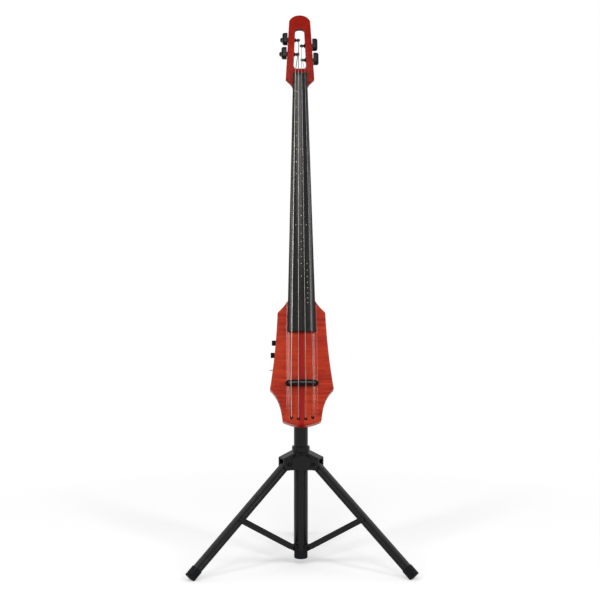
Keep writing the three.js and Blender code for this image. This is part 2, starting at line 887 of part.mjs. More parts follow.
// The bridge: a low black block with pointed ends, hollowed to the arch, with a slot for the saddle.
function bridgeBlock() {
  const z = body.bridgeHeight;
  const { half, waistHalf, length, tipLength } = bridge;
  const shape = outline([
    [-waistHalf, z - length / 2],
    [waistHalf, z - length / 2],
    [half, z - tipLength / 2],
    [half, z + tipLength / 2],
    [waistHalf, z + length / 2],
    [-waistHalf, z + length / 2],
    [-half, z + tipLength / 2],
    [-half, z - tipLength / 2],
  ]);
  const blank = slab(shape, [-bridge.crest, 0]);
  const crown = bar(
    bridge.crownRadius,
    Z,
    [z - length, z + length],
    [0, -bridge.crest + bridge.crownRadius, 0],
    fine * 3,
  );
  const archBed = bar(
    archRadius + gap,
    Z,
    [z - length, z + length],
    [0, archRadius - body.archRise, 0],
    fine * 3,
  );
  const flatBed = block([-half - overrun, half + overrun], [-gap, body.archRise], [z - length, z + length]);
  const slot = block(
    [-saddle.half - gap, saddle.half + gap],
    [-bridge.crest - overrun, -bridge.crest + saddle.depth + gap],
    [z - saddle.length / 2 - gap, z + saddle.length / 2 + gap],
  );
  const screws = [-1, 1].map((side) =>
    bar(
      bridge.screwHeadRadius + gap,
      Y,
      [-bridge.crest - overrun, 0],
      [side * screwX, 0, z],
      small,
    ),
  );
  return cut(blank.intersect(crown), archBed, flatBed, slot, ...screws);
}

function saddleBlade() {
  const steps = 12;
  const bottom = -bridge.crest + saddle.depth;
  const ring = (z) => {
    const top = Array.from({ length: steps + 1 }, (_, i) => {
      const x = THREE.MathUtils.mapLinear(i, 0, steps, -saddle.half, saddle.half);
      return new THREE.Vector3(x, saddleDepth(x), z);
    });
    return [...top, new THREE.Vector3(saddle.half, bottom, z), new THREE.Vector3(-saddle.half, bottom, z)];
  };
  return loft([ring(body.bridgeHeight - saddle.length / 2), ring(body.bridgeHeight + saddle.length / 2)]);
}

// A screw that holds one end of the bridge down. Its head is in the bridge, and its shank in the body.
const screwX = bridge.half - bridge.screwInset;

function bridgeScrew(side) {
  const seat = archDepth(screwX - bridge.screwHeadRadius) - gap;
  const crownAt = -bridge.crest + bridge.crownRadius - Math.sqrt(bridge.crownRadius ** 2 - screwX ** 2);
  const place = [side * screwX, 0, body.bridgeHeight];
  return join(
    bar(bridge.screwHeadRadius, Y, [crownAt + gap, seat], place, small),
    bar(bridge.screwShaft, Y, [seat - bridge.screwShaft, bridge.screwDepth], place, small),
  );
}

function anchorPlate() {
  const back = body.thickness - anchor.recessDepth + gap + anchor.thickness;
  const plate = block(
    [-anchor.half, anchor.half],
    [back - anchor.thickness, back],
    [anchor.centre - anchor.height / 2, anchor.centre + anchor.height / 2],
  );
  const holes = holeX.map((x, i) =>
    bar(anchor.bore, Y, [back - anchor.thickness - overrun, back + overrun], [x, 0, holeZ[i]], small),
  );
  return cut(plate, ...holes);
}

// A string from its ball in the anchor plate, over the bridge and the nut, to its turns on the post.
// The least gap between its turns is measured on the points and printed.
function stringWire(i) {
  const radius = strings.radii[i];
  const side = tuner.sides[i];
  const clear = radius + gap;
  const postZ = nutHeight + tuner.heights[i];
  const wound = tuner.waistRadius + gap + radius;
  const pitch = 2 * radius + strings.turnGap;
  const waistMiddle = (waistStart(tuner.heights[i]) + waistEnd(tuner.heights[i])) / 2;
  const startX = side * (waistMiddle - (pitch * strings.turns) / 2);
  const bridgeTop = new THREE.Vector3(
    atBridge[i],
    saddleDepth(atBridge[i]) - clear,
    body.bridgeHeight,
  );
  const nutTop = new THREE.Vector3(atNut[i], nutCrest(atNut[i]) - clear, nutHeight);
  const nutBack = new THREE.Vector3(atNut[i], nutTop.y, nutHeight + nut.length);
  const holeTop = archDepth(holeX[i]);
  const bend = strings.bendRadius;
  const ballBack = body.thickness - anchor.recessDepth + anchor.thickness + 2 * gap;
  const points = [
    new THREE.Vector3(holeX[i], ballBack + radius, holeZ[i]),
    new THREE.Vector3(holeX[i], holeTop + bend, holeZ[i]),
    new THREE.Vector3(holeX[i], holeTop, holeZ[i] + bend / 4),
    new THREE.Vector3(holeX[i], holeTop - bend / 2, holeZ[i] + bend),
    bridgeTop.clone().setZ(body.bridgeHeight - saddle.length / 2),
    bridgeTop.clone().setZ(body.bridgeHeight + saddle.length / 2),
    nutTop,
    nutBack,
  ];
  // The string meets its post on the front, as a tangent to the turns.
  const dz = postZ - nutBack.z;
  const dy = postDepth - nutBack.y;
  const distance = Math.hypot(dz, dy);
  const meet = Math.atan2(dy, dz) - Math.PI / 2 - Math.asin(wound / distance);
  const perTurn = 12;
  const coil = [];
  for (let k = 0; k <= perTurn * strings.turns; k++) {
    const turn = meet + (2 * Math.PI * k) / perTurn;
    coil.push(
      new THREE.Vector3(
        startX + (side * pitch * k) / perTurn,
        postDepth + wound * Math.sin(turn),
        postZ + wound * Math.cos(turn),
      ),
    );
  }
  let least = Infinity;
  coil.forEach((a, j) =>
    coil.slice(j + perTurn / 2).forEach((b) => {
      least = Math.min(least, a.distanceTo(b) - 2 * radius);
    }),
  );
  console.log("string " + strings.names[i] + ": least gap between turns " + least.toFixed(2) + " mm");
  const ball = bar(
    strings.ballRadius,
    Y,
    [ballBack, ballBack + strings.ballLength],
    [holeX[i], 0, holeZ[i]],
    small,
  );
  return wire([...points, ...coil], radius, 6).add(ball);
}

// Tuning machines. Each is drawn for the right side and mirrored to the left.
const mirrored = (made, side) => (side > 0 ? made : made.mirror([1, 0, 0]));
const caseStart = (i) => headHalf(tuner.heights[i] - tuner.caseHeight / 2) + gap;
const wormX = (i) => caseStart(i) + tuner.gearInset + tuner.gearWidth / 2;
const wormRise = tuner.gearRadius + tuner.wormClearance + tuner.wormRadius;

function tunerCase(i) {
  const z = nutHeight + tuner.heights[i] + tuner.caseShift;
  const from = caseStart(i);
  const shell = (grow, start, end) =>
    solid(
      new THREE.ExtrudeGeometry(
        roundedBox(tuner.caseDepth - grow * 2, tuner.caseHeight - grow * 2, tuner.caseCorner - grow),
        { depth: end - start, bevelEnabled: false, curveSegments: 2 },
      )
        .rotateY(Math.PI / 2)
        .rotateX(Math.PI / 2)
        .translate(start, postDepth, z),
    );
  const outside = shell(0, from, from + tuner.caseOut);
  const inside = shell(tuner.caseWall, from - overrun, from + tuner.caseOut - tuner.caseWall);
  const shaftHole = bar(
    tuner.keyShaftRadius + tuner.boreClearance,
    Y,
    [postDepth, postDepth + tuner.caseDepth],
    [wormX(i), 0, nutHeight + tuner.heights[i] + wormRise],
    small,
  );
  return mirrored(cut(outside, inside, shaftHole), tuner.sides[i]);
}

function tunerPost(i) {
  const height = tuner.heights[i];
  const tipEnd = waistEnd(height) - tuner.tipLength;
  const gearEnd = caseStart(i) + tuner.gearInset + tuner.gearWidth;
  const turnedPart = turned(
    [
      [0, tipEnd],
      [tuner.tipRadius, tipEnd],
      [tuner.tipRadius, waistEnd(height) - tuner.tipLength / 2],
      [tuner.waistRadius, waistEnd(height)],
      [tuner.waistRadius, waistStart(height)],
      [tuner.coneRadius, coneBase(height)],
      [tuner.shaftRadius, coneBase(height)],
      [tuner.shaftRadius, gearEnd],
      [0, gearEnd],
    ],
    small,
  ).rotate([0, 90, 0]);
  const gearShape = new THREE.Shape(
    Array.from({ length: tuner.gearTeeth * 2 }, (_, k) => {
      const turn = (Math.PI * k) / tuner.gearTeeth;
      const reach = tuner.gearRadius - (k % 2 ? tuner.toothDepth : 0);
      return new THREE.Vector2(reach * Math.cos(turn), reach * Math.sin(turn));
    }),
  );
  const gear = solid(
    new THREE.ExtrudeGeometry(gearShape, { depth: tuner.gearWidth, bevelEnabled: false })
      .rotateY(Math.PI / 2)
      .translate(caseStart(i) + tuner.gearInset, 0, 0),
  );
  const made = join(turnedPart, gear).translate([0, postDepth, nutHeight + tuner.heights[i]]);
  return mirrored(made, tuner.sides[i]);
}

// A key with its worm. The left pair stand with their keys turned sideways, the right pair upright.
function tunerKey(i) {
  const caseBack = tuner.caseDepth / 2;
  const keyStart = caseBack + gap + tuner.keyCollarLength;
  const at = ([x, y], side = 1) => [(side * x * tuner.keyWidth) / 2, y * tuner.keyLength];
  const { root, lower, widest, upper, crown, dip } = wingShares;
  const wing = new THREE.Shape();
  wing.moveTo(-tuner.keyCollarRadius, 0);
  wing.lineTo(tuner.keyCollarRadius, 0);
  wing.bezierCurveTo(...at(root), ...at(lower), ...at(widest));
  wing.bezierCurveTo(...at(upper), ...at(crown), ...at(dip));
  wing.bezierCurveTo(...at(crown, -1), ...at(upper, -1), ...at(widest, -1));
  wing.bezierCurveTo(...at(lower, -1), ...at(root, -1), -tuner.keyCollarRadius, 0);
  const blade = solid(
    new THREE.ExtrudeGeometry(wing, {
      depth: tuner.keyThickness - 2 * tuner.keyBevel,
      bevelThickness: tuner.keyBevel,
      bevelSize: tuner.keyBevel,
      bevelOffset: -tuner.keyBevel,
      bevelSegments: 1,
      curveSegments: 4,
    }).translate(0, keyStart, -tuner.keyThickness / 2 + tuner.keyBevel),
  );
  const upright = tuner.sides[i] > 0 ? blade.rotate([0, 90, 0]) : blade;
  const inner = caseBack - tuner.caseWall - gap;
  const worm = bar(tuner.wormRadius, Y, [-inner, inner], [0, 0, 0], small);
  const shaft = bar(tuner.keyShaftRadius, Y, [-inner, keyStart + tuner.keyLength / 2], [0, 0, 0], small);
  const collarSpan = [caseBack + gap, keyStart + tuner.keyBevel];
  const collar = bar(tuner.keyCollarRadius, Y, collarSpan, [0, 0, 0], small);
  const place = [tuner.sides[i] * wormX(i), postDepth, nutHeight + tuner.heights[i] + wormRise];
  return join(upright, worm, shaft, collar).translate(place);
}

// Controls in the body's left side.
function controlKnob(z) {
  const half = bodyHalf(z);
  const base = half - controls.spotDepth + controls.knobStandoff;
  const ribs = controls.knobRibs;
  const shape = new THREE.Shape(
    Array.from({ length: ribs * 2 }, (_, k) => {
      const turn = (Math.PI * k) / ribs;
      const reach = controls.knobRadius - (k % 2 ? controls.ribDepth : 0);
      return new THREE.Vector2(reach * Math.cos(turn), reach * Math.sin(turn));
    }),
  );
  const cap = solid(
    new THREE.ExtrudeGeometry(shape, {
      depth: controls.knobLength - controls.ribDepth * 2,
      bevelThickness: controls.ribDepth * 2,
      bevelSize: controls.ribDepth * 2,
      bevelOffset: -controls.ribDepth * 2,
      bevelSegments: 1,
    })
      .rotateY(-Math.PI / 2)
      .translate(-base, 0, 0),
  );
  const flush = block([-base, 0], [-half, half], [-half, half]);
  const shaftEnd = half - controls.wall - controls.potStandoff - gap;
  const shaft = bar(controls.shaftRadius, X, [-base - controls.ribDepth, -shaftEnd], [0, 0, 0], coarse);
  return join(cut(cap, flush), shaft).translate([0, controls.depth, z]);
}

function pot(z) {
  const half = bodyHalf(z);
  const inner = half - controls.wall - controls.potStandoff;
  const can = bar(controls.potRadius, X, [-inner, -inner + controls.potLength], [0, 0, 0], medium);
  const bushing = bar(
    controls.bushingRadius,
    X,
    [-half + controls.spotDepth, -inner + controls.bushingRoot],
    [0, 0, 0],
    coarse,
  );
  const bore = bar(
    controls.shaftRadius + controls.shaftClearance,
    X,
    [-half - overrun, -inner + gap + controls.shaftPlay],
    [0, 0, 0],
    coarse,
  );
  return cut(join(can, bushing), bore).translate([0, controls.depth, z]);
}

function switchCase() {
  const half = bodyHalf(controls.switchHeight);
  const inner = half - controls.wall - controls.potStandoff;
  const box = block(
    [-inner, -inner + controls.switchLength],
    [-controls.switchDepth / 2, controls.switchDepth / 2],
    [-controls.switchWidth / 2, controls.switchWidth / 2],
  );
  const bushing = bar(
    controls.switchBushing,
    X,
    [-half + controls.spotDepth, -inner + controls.bushingRoot],
    [0, 0, 0],
    coarse,
  );
  const bore = bar(
    controls.switchBore,
    X,
    [-half - overrun, -half + controls.leverPivotDepth + controls.switchBore],
    [0, 0, 0],
    coarse,
  );
  return cut(join(box, bushing), bore).translate([0, controls.depth, controls.switchHeight]);
}

function switchLever() {
  const half = bodyHalf(controls.switchHeight);
  const pivot = -half + controls.leverPivotDepth;
  const end = controls.leverPivotDepth + controls.leverReach;
  const ball = controls.switchBore - gap;
  const [ringRadiusShare, ringHeightShare] = controls.ballShares;
  const made = turned(
    [
      [0, -ball],
      [ball * ringRadiusShare, -ball * ringHeightShare],
      [ball, 0],
      [ball * ringRadiusShare, ball * ringHeightShare],
      [controls.leverRootRadius, ball],
      [controls.leverTipRadius, end - controls.leverTipRadius],
      [controls.leverTipRadius * controls.leverTipShare, end],
      [0, end],
    ],
    small,
  );
  return made.rotate([0, -90, 0]).translate([pivot, controls.depth, controls.switchHeight]);
}

function cavityCover() {
  return slab(cavityShape(cavity.ledge - gap), [body.thickness - cavity.coverThickness, body.thickness]);
}

function preampBoard() {
  const x = -cavity.inner - cavity.boardInset;
  const middle = (cavity.bottom + cavity.top) / 2;
  return block(
    [x - cavity.boardThickness, x],
    [cavity.floor + gap, cavity.floor + gap + cavity.boardDepth],
    [middle - cavity.boardHeight / 2, middle + cavity.boardHeight / 2],
  );
}

function outputJack() {
  const barrelSpan = [body.thickness - jack.length, body.thickness + jack.flange];
  const barrel = bar(jack.radius, Y, barrelSpan, [0, 0, 0]);
  const flange = bar(
    jack.flangeRadius,
    Y,
    [body.thickness + gap, body.thickness + gap + jack.flange],
    [0, 0, 0],
    fine,
  );
  const bored = [body.thickness - jack.length + jack.floor, body.thickness + jack.length];
  const bore = bar(jack.bore, Y, bored, [0, 0, 0]);
  return cut(join(barrel, flange), bore).translate([jack.x, 0, jack.height]);
}

// The plate on the body's back, with two ears round the tilt pivot.
const earInner = tiltHead.lugHalf + gap;
const earOuter = earInner + bracket.earThickness;

function tiltBracket() {
  const back = body.thickness + gap;
  const plate = slab(
    roundedBox(bracket.half * 2, bracket.height, bracket.earRadius / 2),
    [back, back + bracket.plate],
    { curves: 2 },
  ).translate([0, 0, bracket.pivotHeight]);
  const ear = (x) => {
    const shape = new THREE.Shape();
    shape.absarc(0, pivotDepth, bracket.earRadius, 0, Math.PI);
    shape.lineTo(-bracket.earRoot, back + bracket.plate / 2);
    shape.lineTo(bracket.earRoot, back + bracket.plate / 2);
    const options = { depth: bracket.earThickness, bevelEnabled: false, curveSegments: 6 };
    // Drawn in Z and Y, then stood up across X.
    return solid(
      new THREE.ExtrudeGeometry(shape, options)
        .rotateY(Math.PI / 2)
        .translate(x, 0, bracket.pivotHeight),
    );
  };
  const hole = bar(
    bolt.radius + bolt.clearance,
    X,
    [-bracket.half - overrun, bracket.half + overrun],
    [0, pivotDepth, bracket.pivotHeight],
    coarse,
  );
  return cut(join(plate, ear(earInner), ear(-earOuter)), hole);
}

// The stand above the tripod. The tilt pivot is straight above the tube.
function tiltHeadSolid() {
  const top = stand.pivotHeight;
  const flangeTop = top - tiltHead.drop + tiltHead.flange + gap;
  const shape = new THREE.Shape();
  shape.absarc(0, top, tiltHead.lugRadius, 0, Math.PI);
  shape.lineTo(-tiltHead.lugRadius, flangeTop - overrun);
  shape.lineTo(tiltHead.lugRadius, flangeTop - overrun);
  const lug = solid(
    new THREE.ExtrudeGeometry(shape, { depth: tiltHead.lugHalf * 2, bevelEnabled: false, curveSegments: 6 })
      .rotateX(Math.PI / 2)
      .rotateZ(Math.PI / 2)
      .translate(-tiltHead.lugHalf, 0, 0),
  );
  const flange = turned([
    [0, top - tiltHead.drop + gap],
    [tiltHead.flangeRadius, top - tiltHead.drop + gap],
    [tiltHead.flangeRadius, flangeTop],
    [0, flangeTop],
  ]);
  const plug = bar(
    stand.innerRadius - stand.innerWall - gap,
    Z,
    [top - tiltHead.drop - tiltHead.plugLength, top - tiltHead.drop + overrun],
    [0, 0, 0],
    medium,
  );
  const hole = bar(bolt.radius + bolt.clearance, X, [-bracket.half, bracket.half], [0, 0, top], coarse);
  return cut(join(lug, flange, plug), hole);
}

function tiltBolt() {
  const head = bar(bolt.headRadius, X, [-earOuter - gap - bolt.head, -earOuter - gap], [0, 0, 0], 6);
  const shaft = bar(
    bolt.radius,
    X,
    [-earOuter - bolt.head / 2, earOuter + tiltKnob.collar + tiltKnob.length / 2],
    [0, 0, 0],
    coarse,
  );
  return join(head, shaft).translate([0, 0, stand.pivotHeight]);
}

function tiltKnobSolid() {
  const start = earOuter + gap;
  const lobes = grip(tiltKnob.radius, start + tiltKnob.collar, tiltKnob.length);
  const collar = bar(
    tiltKnob.radius * knob.hubShare,
    Y,
    [start, start + tiltKnob.collar + knob.bevel],
    [0, 0, 0],
    medium,
  );
  const bore = bar(
    bolt.radius + bolt.clearance,
    Y,
    [start - overrun, earOuter + tiltKnob.collar + tiltKnob.length / 2 + gap],
    [0, 0, 0],
    coarse,
  );
  return cut(join(lobes, collar), bore)
    .rotate([0, 0, -90])
    .translate([0, 0, stand.pivotHeight]);
}

function innerTube() {
  const top = stand.pivotHeight - tiltHead.drop;
  const bottom = tubeTop - stand.innerOverlap;
  return sleeve(stand.innerRadius, stand.innerRadius - stand.innerWall, bottom, top, fine);
}

function standTube() {
  const tube = sleeve(
    stand.tubeRadius,
    stand.tubeRadius - stand.tubeWall,
    stand.tubeBottom + gap,
    tubeTop,
    fine,
  );
  const slots = legs.directions.map((direction) =>
    toward(
      block(
        [0, stand.tubeRadius + overrun],
        [-legs.width / 2 - gap, legs.width / 2 + gap],
        [stand.tubeBottom - overrun, lowerHub.slotTop + gap],
      ),
      direction,
    ),
  );
  return cut(tube, ...slots);
}

function heightClamp() {
  const top = clampBottom + clamp.height;
  const step = tubeTop + gap;
  const collar = turned([
    [stand.tubeRadius + gap, clampBottom],
    [clamp.radius - clamp.edge, clampBottom],
    [clamp.radius, clampBottom + clamp.edge],
    [clamp.radius, top - clamp.throat],
    [clamp.radius - clamp.throat, top],
    [stand.innerRadius + gap, top],
    [stand.innerRadius + gap, step],
    [stand.tubeRadius + gap, step],
    [stand.tubeRadius + gap, clampBottom],
  ]);
  const height = clampKnobHeight;
  const boss = cut(
    bar(clamp.bossRadius, Y, [stand.innerRadius, clamp.bossReach], [0, 0, height], medium),
    bar(stand.tubeRadius + gap, Z, [clampBottom - overrun, top + overrun], [0, 0, 0], fine),
  );
  const hole = bar(
    clamp.screwRadius + gap,
    Y,
    [0, clamp.bossReach + overrun],
    [0, 0, height],
    coarse,
  );
  return cut(join(collar, boss), hole);
}
const clampKnobHeight = tubeTop + gap + (clampBottom + clamp.height - tubeTop) / 2;

function heightKnob() {
  const start = clamp.bossReach + gap;
  const lobes = grip(clamp.knobRadius, start, clamp.knobLength);
  const screw = bar(
    clamp.screwRadius,
    Y,
    [stand.innerRadius + gap, start + knob.bevel],
    [0, 0, 0],
    small,
  );
  return join(lobes, screw).translate([0, 0, clampKnobHeight]);
}

// The sliding hub, drawn about the tube with one bracket along +X and turned to each leg.
const bracketSlope = (hub.ringTop - hub.ringHeight - hub.bracketTop) / (hub.bracketReach - hub.ringRadius);
const hubTopAt = (r) => hub.ringTop - hub.ringHeight - bracketSlope * (r - hub.ringRadius);

function hubSolid() {
  const rimTop = hubTopAt(hub.coreRadius) - hub.coneDrop;
  const core = turned([
    [hub.bore, hub.bottom],
    [hub.coreRadius, hub.bottom],
    [hub.coreRadius, rimTop],
    [hub.ringRadius, hub.ringTop - hub.ringHeight],
    [hub.ringRadius, hub.ringTop - hub.ringEdge],
    [hub.ringRadius - hub.ringEdge, hub.ringTop],
    [hub.bore, hub.ringTop],
    [hub.bore, hub.bottom],
  ]);
  const inner = (hub.bore + hub.ringRadius) / 2;
  const armShape = outline([
    [inner, hub.bottom],
    [hub.chinReach, hub.bottom],
    [hub.bracketReach, hub.bottom + hub.chinHeight],
    [hub.bracketReach, hub.bracketTop],
    [inner, hubTopAt(inner)],
  ]);
  const channelShape = outline([
    [hub.channelStart, hub.bottom - overrun],
    [hub.bracketReach + overrun, hub.bottom - overrun],
    [hub.bracketReach + overrun, hubTopAt(hub.bracketReach + overrun) - hub.bracketPlate],
    [hub.channelStart, hubTopAt(hub.channelStart) - hub.bracketPlate],
  ]);
  const arm = slab(armShape, [-hub.bracketWidth / 2, hub.bracketWidth / 2]);
  const channel = slab(channelShape, [-hub.bracketGap / 2, hub.bracketGap / 2]);
  const pinHole = bar(
    legs.pinRadius + legs.pinClearance,
    Y,
    [-hub.bracketWidth, hub.bracketWidth],
    [legs.pivotRadius, 0, legs.pivotHeight],
    coarse,
  );
  const gableShape = outline([
    [-hub.gableHalf, hub.bottom],
    [hub.gableHalf, hub.bottom],
    [hub.gableHalf, hub.bottom + hub.gableRise],
    [0, hub.bottom + hub.gablePeak],
    [-hub.gableHalf, hub.bottom + hub.gableRise],
  ]);
  const gable = slab(gableShape, [-hub.gableReach, -inner]);
  const between = Math.PI / legCount + Math.PI / 2;
  const gables = legs.directions.map((direction) => toward(gable, direction + between));
  const boss = bar(hub.bossRadius, X, [inner, hub.bossReach], [0, 0, hub.knobHeight], medium);
  const bored = [0, hub.bossReach + overrun];
  const screwHole = bar(hub.screwRadius + gap, X, bored, [0, 0, hub.knobHeight], coarse);
  const bore = bar(hub.bore, Z, [hub.bottom - overrun, hub.ringTop + overrun], [0, 0, 0], fine);
  const solids = [...gables, toward(boss, hub.knobDirection)];
  const arms = legs.directions.map((direction) => toward(arm, direction));
  const cuts = legs.directions.flatMap((direction) =>
    [channel, pinHole].map((made) => toward(made, direction)),
  );
  return cut(join(core, ...solids, ...arms), ...cuts, toward(screwHole, hub.knobDirection), bore);
}

function hubKnob() {
  const start = hub.bossReach + gap;
  const lobes = grip(hub.knobRadius, start, hub.knobLength);
  const screw = bar(hub.screwRadius, Y, [stand.tubeRadius + gap, start + knob.bevel], [0, 0, 0], small);
  const made = join(lobes, screw).rotate([0, 0, -90]).translate([0, 0, hub.knobHeight]);
  return toward(made, hub.knobDirection);
}

// A leg's section, with a groove along each side.
function legSection() {
  const w = legs.width / 2;
  const d = legs.depth / 2;
  const c = legs.corner;
  const low = legs.grooveRise - legs.grooveWidth / 2;
  const high = legs.grooveRise + legs.grooveWidth / 2;
  const dip = w - legs.grooveDepth;
  const half = [
    [d - c, w],
    [high + legs.grooveDepth, w],
    [high, dip],
    [low, dip],
    [low - legs.grooveDepth, w],
    [-d + c, w],
  ];
  const corner = (x, y, start) =>
    Array.from({ length: 3 }, (_, i) => {
      const turn = start + (Math.PI / 2) * ((i + 1) / 4);
      return [x + c * Math.cos(turn), y + c * Math.sin(turn)];
    });
  return [
    [d, w - c],
    ...corner(d - c, w - c, 0),
    ...half,
    ...corner(-d + c, w - c, Math.PI / 2),
    [-d, w - c],
    [-d, -w + c],
    ...corner(-d + c, -w + c, Math.PI),
    ...half.map(([x, y]) => [x, -y]).reverse(),
    ...corner(d - c, -w + c, Math.PI * 1.5),
    [d, -w + c],
  ];
}

// Where the foot ends along the leg, so that its lower edge is cut flat by the floor.
const footEnd =
  (legs.pivotHeight + foot.soleCut - (foot.depth / 2) * Math.sin(legs.spread)) / Math.cos(legs.spread);
const legEnd = footEnd - foot.length + foot.socket - foot.legEnd;

// Places a solid drawn down from the origin at a leg's pivot, leaning out along +X, then turns it.
function placedOnLeg(made, direction) {
  const leaning = made
    .rotate([0, -THREE.MathUtils.radToDeg(legs.spread), 0])
    .translate([legs.pivotRadius, 0, legs.pivotHeight]);
  return toward(leaning, direction);
}

function leg(direction) {
  const w = legs.width / 2 - legs.wall - legs.grooveDepth;
  const d = legs.depth / 2 - legs.wall;
  const hollow = [[-d, -w], [d, -w], [d, w], [-d, w]];
  const profile = outline(legSection(), [hollow]);
  const tube = solid(
    new THREE.ExtrudeGeometry(profile, { depth: legEnd + legs.topRadius, bevelEnabled: false }).translate(
      0,
      0,
      -legEnd,
    ),
  );
  // The upper end is rounded about the pivot.
  const roundTop = join(
    bar(legs.topRadius, Y, [-legs.width, legs.width], [0, 0, 0], medium),
    block([-legs.depth, legs.depth], [-legs.width, legs.width], [-legEnd - overrun, 0]),
  );
  const pinHole = bar(legs.pinRadius + legs.pinClearance, Y, [-legs.width, legs.width], [0, 0, 0], coarse);
  return placedOnLeg(cut(tube.intersect(roundTop), pinHole), direction);
}

function legFoot(direction) {
  const capDepth = new THREE.ExtrudeGeometry(roundedBox(foot.depth, foot.width, foot.corner), {
    depth: foot.length,
    bevelEnabled: false,
    curveSegments: 2,
  });
  const socket = block(
    [-legs.depth / 2 - gap, legs.depth / 2 + gap],
    [-legs.width / 2 - gap, legs.width / 2 + gap],
    [-(footEnd - foot.length + foot.socket), -(footEnd - foot.length - overrun)],
  );
  const cap = cut(solid(capDepth.translate(0, 0, -footEnd)), socket);
  const far = legs.pivotRadius + footEnd * 2;
  const floor = block([-far, far], [-far, far], [-far, 0]);
  return cut(placedOnLeg(cap, direction), floor);
}

function legPin(direction) {
  const side = hub.bracketWidth / 2 + gap;
  const reach = side + legs.pinHead / 2;
  const shaft = bar(legs.pinRadius, Y, [-reach, reach], [0, 0, 0], coarse);
  const heads = [-1, 1].map((sign) =>
    bar(
      legs.pinHeadRadius,
      Y,
      sign > 0 ? [side, side + legs.pinHead] : [-side - legs.pinHead, -side],
      [0, 0, 0],
      coarse,
    ),
  );
  return toward(join(shaft, ...heads).translate([legs.pivotRadius, 0, legs.pivotHeight]), direction);
}

// The strut: a channel whose open ends straddle the lower hub's lug and the leg.
const strutEndX = legs.pivotRadius + strut.legDistance * Math.sin(legs.spread);
const strutEndZ = legs.pivotHeight - strut.legDistance * Math.cos(legs.spread);
const strutLength = Math.hypot(strutEndX - strut.hubRadius, strutEndZ - strut.hubHeight);
const strutPitch = Math.atan2(strutEndZ - strut.hubHeight, strutEndX - strut.hubRadius);
const cheekInner = legs.width / 2 + strut.sideGap;
const cheekOuter = cheekInner + strut.wall;

function placedOnStrut(made, direction) {
  const leaning = made
    .rotate([0, -THREE.MathUtils.radToDeg(strutPitch), 0])
    .translate([strut.hubRadius, 0, strut.hubHeight]);
  return toward(leaning, direction);
}

function strutChannel(direction) {
  const end = strut.height / 2;
  const cheekShape = stadium(strutLength, end);
  const cheek = (y) => slab(cheekShape, y, { curves: 4 });
  const web = block(
    [strut.webStart, strutLength - strut.webCutBack],
    [-cheekInner - strut.wall / 2, cheekInner + strut.wall / 2],
    [end - strut.wall, end],
  );
  const through = [-cheekOuter * 2, cheekOuter * 2];
  const holes = bar(strut.pinRadius + strut.pinClearance, Y, through, [0, 0, 0], small);
  const rivet = (sign) =>
    bar(
      strut.rivetRadius,
      Y,
      [-strut.wall / 2, strut.rivetHeight],
      [0, 0, 0],
      small,
      strut.rivetRadius * strut.rivetTopShare,
    )
      .rotate([0, 0, sign > 0 ? 0 : 180])
      .translate([strutLength, sign * cheekOuter, 0]);
  const cheeks = [cheek([cheekInner, cheekOuter]), cheek([-cheekOuter, -cheekInner])];
  const made = join(...cheeks, web, rivet(1), rivet(-1));
  return placedOnStrut(cut(made, holes), direction);
}

function strutPin(direction) {
  const side = cheekOuter + gap;
  const reach = side + strut.pinHead / 2;
  const shaft = bar(strut.pinRadius, Y, [-reach, reach], [0, 0, 0], small);
  const heads = [-1, 1].map((sign) =>
    bar(
      strut.pinHeadRadius,
      Y,
      sign > 0 ? [side, side + strut.pinHead] : [-side - strut.pinHead, -side],
      [0, 0, 0],
      small,
    ),
  );
  return toward(join(shaft, ...heads).translate([strut.hubRadius, 0, strut.hubHeight]), direction);
}

// The lower hub closes the tube's end, and its lugs come out through the tube's slots.
function lowerHubSolid() {
  const plugRadius = stand.tubeRadius - stand.tubeWall - gap;
  const plug = turned([
    [0, lowerHub.bottom],
    [lowerHub.capRadius - lowerHub.capBevel, lowerHub.bottom],
    [lowerHub.capRadius, lowerHub.bottom + lowerHub.capBevel],
    [lowerHub.capRadius, stand.tubeBottom],
    [plugRadius, stand.tubeBottom],
    [plugRadius, lowerHub.plugTop],
    [0, lowerHub.plugTop],
  ]);
  const lugRadius = strut.height / 2 - gap;
  const lugShape = stadium(strut.hubRadius, lugRadius);
  const lug = slab(lugShape, [-legs.width / 2, legs.width / 2], { curves: 4 }).translate([
    0,
    0,
    strut.hubHeight,
  ]);
  const hole = bar(
    strut.pinRadius + strut.pinClearance,
    Y,
    [-legs.width, legs.width],
    [strut.hubRadius, 0, strut.hubHeight],
    small,
  );
  const lugs = legs.directions.map((direction) => toward(lug, direction));
  const holes = legs.directions.map((direction) => toward(hole, direction));
  return cut(join(plug, ...lugs), ...holes);
}

// The assembly.
add("body", woodenBody(), finishes.flamedMaple, onInstrument);
add("neck_and_head", neckAndHead(), finishes.headMaple, onInstrument);
add("fingerboard", fingerboard(), finishes.ebony, onInstrument);
add("nut", nutBlock(), finishes.ebony, onInstrument);
add("bridge", bridgeBlock(), finishes.blackPlastic, onInstrument);
add("bridge_saddle", saddleBlade(), finishes.saddleGrey, onInstrument);
add("bridge_screw_left", bridgeScrew(-1), finishes.blackMetal, onInstrument);
add("bridge_screw_right", bridgeScrew(1), finishes.blackMetal, onInstrument);
add("string_anchor_plate", anchorPlate(), finishes.steel, onInstrument);
strings.names.forEach((name, i) => {
  add("string_" + name, stringWire(i), finishes.steel, onInstrument);
  add("tuner_case_" + name, tunerCase(i), finishes.blackMetal, onInstrument);
  add("tuner_post_" + name, tunerPost(i), finishes.blackMetal, onInstrument);
  add("tuner_key_" + name, tunerKey(i), finishes.blackMetal, onInstrument);
});
add("volume_knob", controlKnob(controls.knobHeights[0]), finishes.blackPlastic, onInstrument);
add("tone_knob", controlKnob(controls.knobHeights[1]), finishes.blackPlastic, onInstrument);
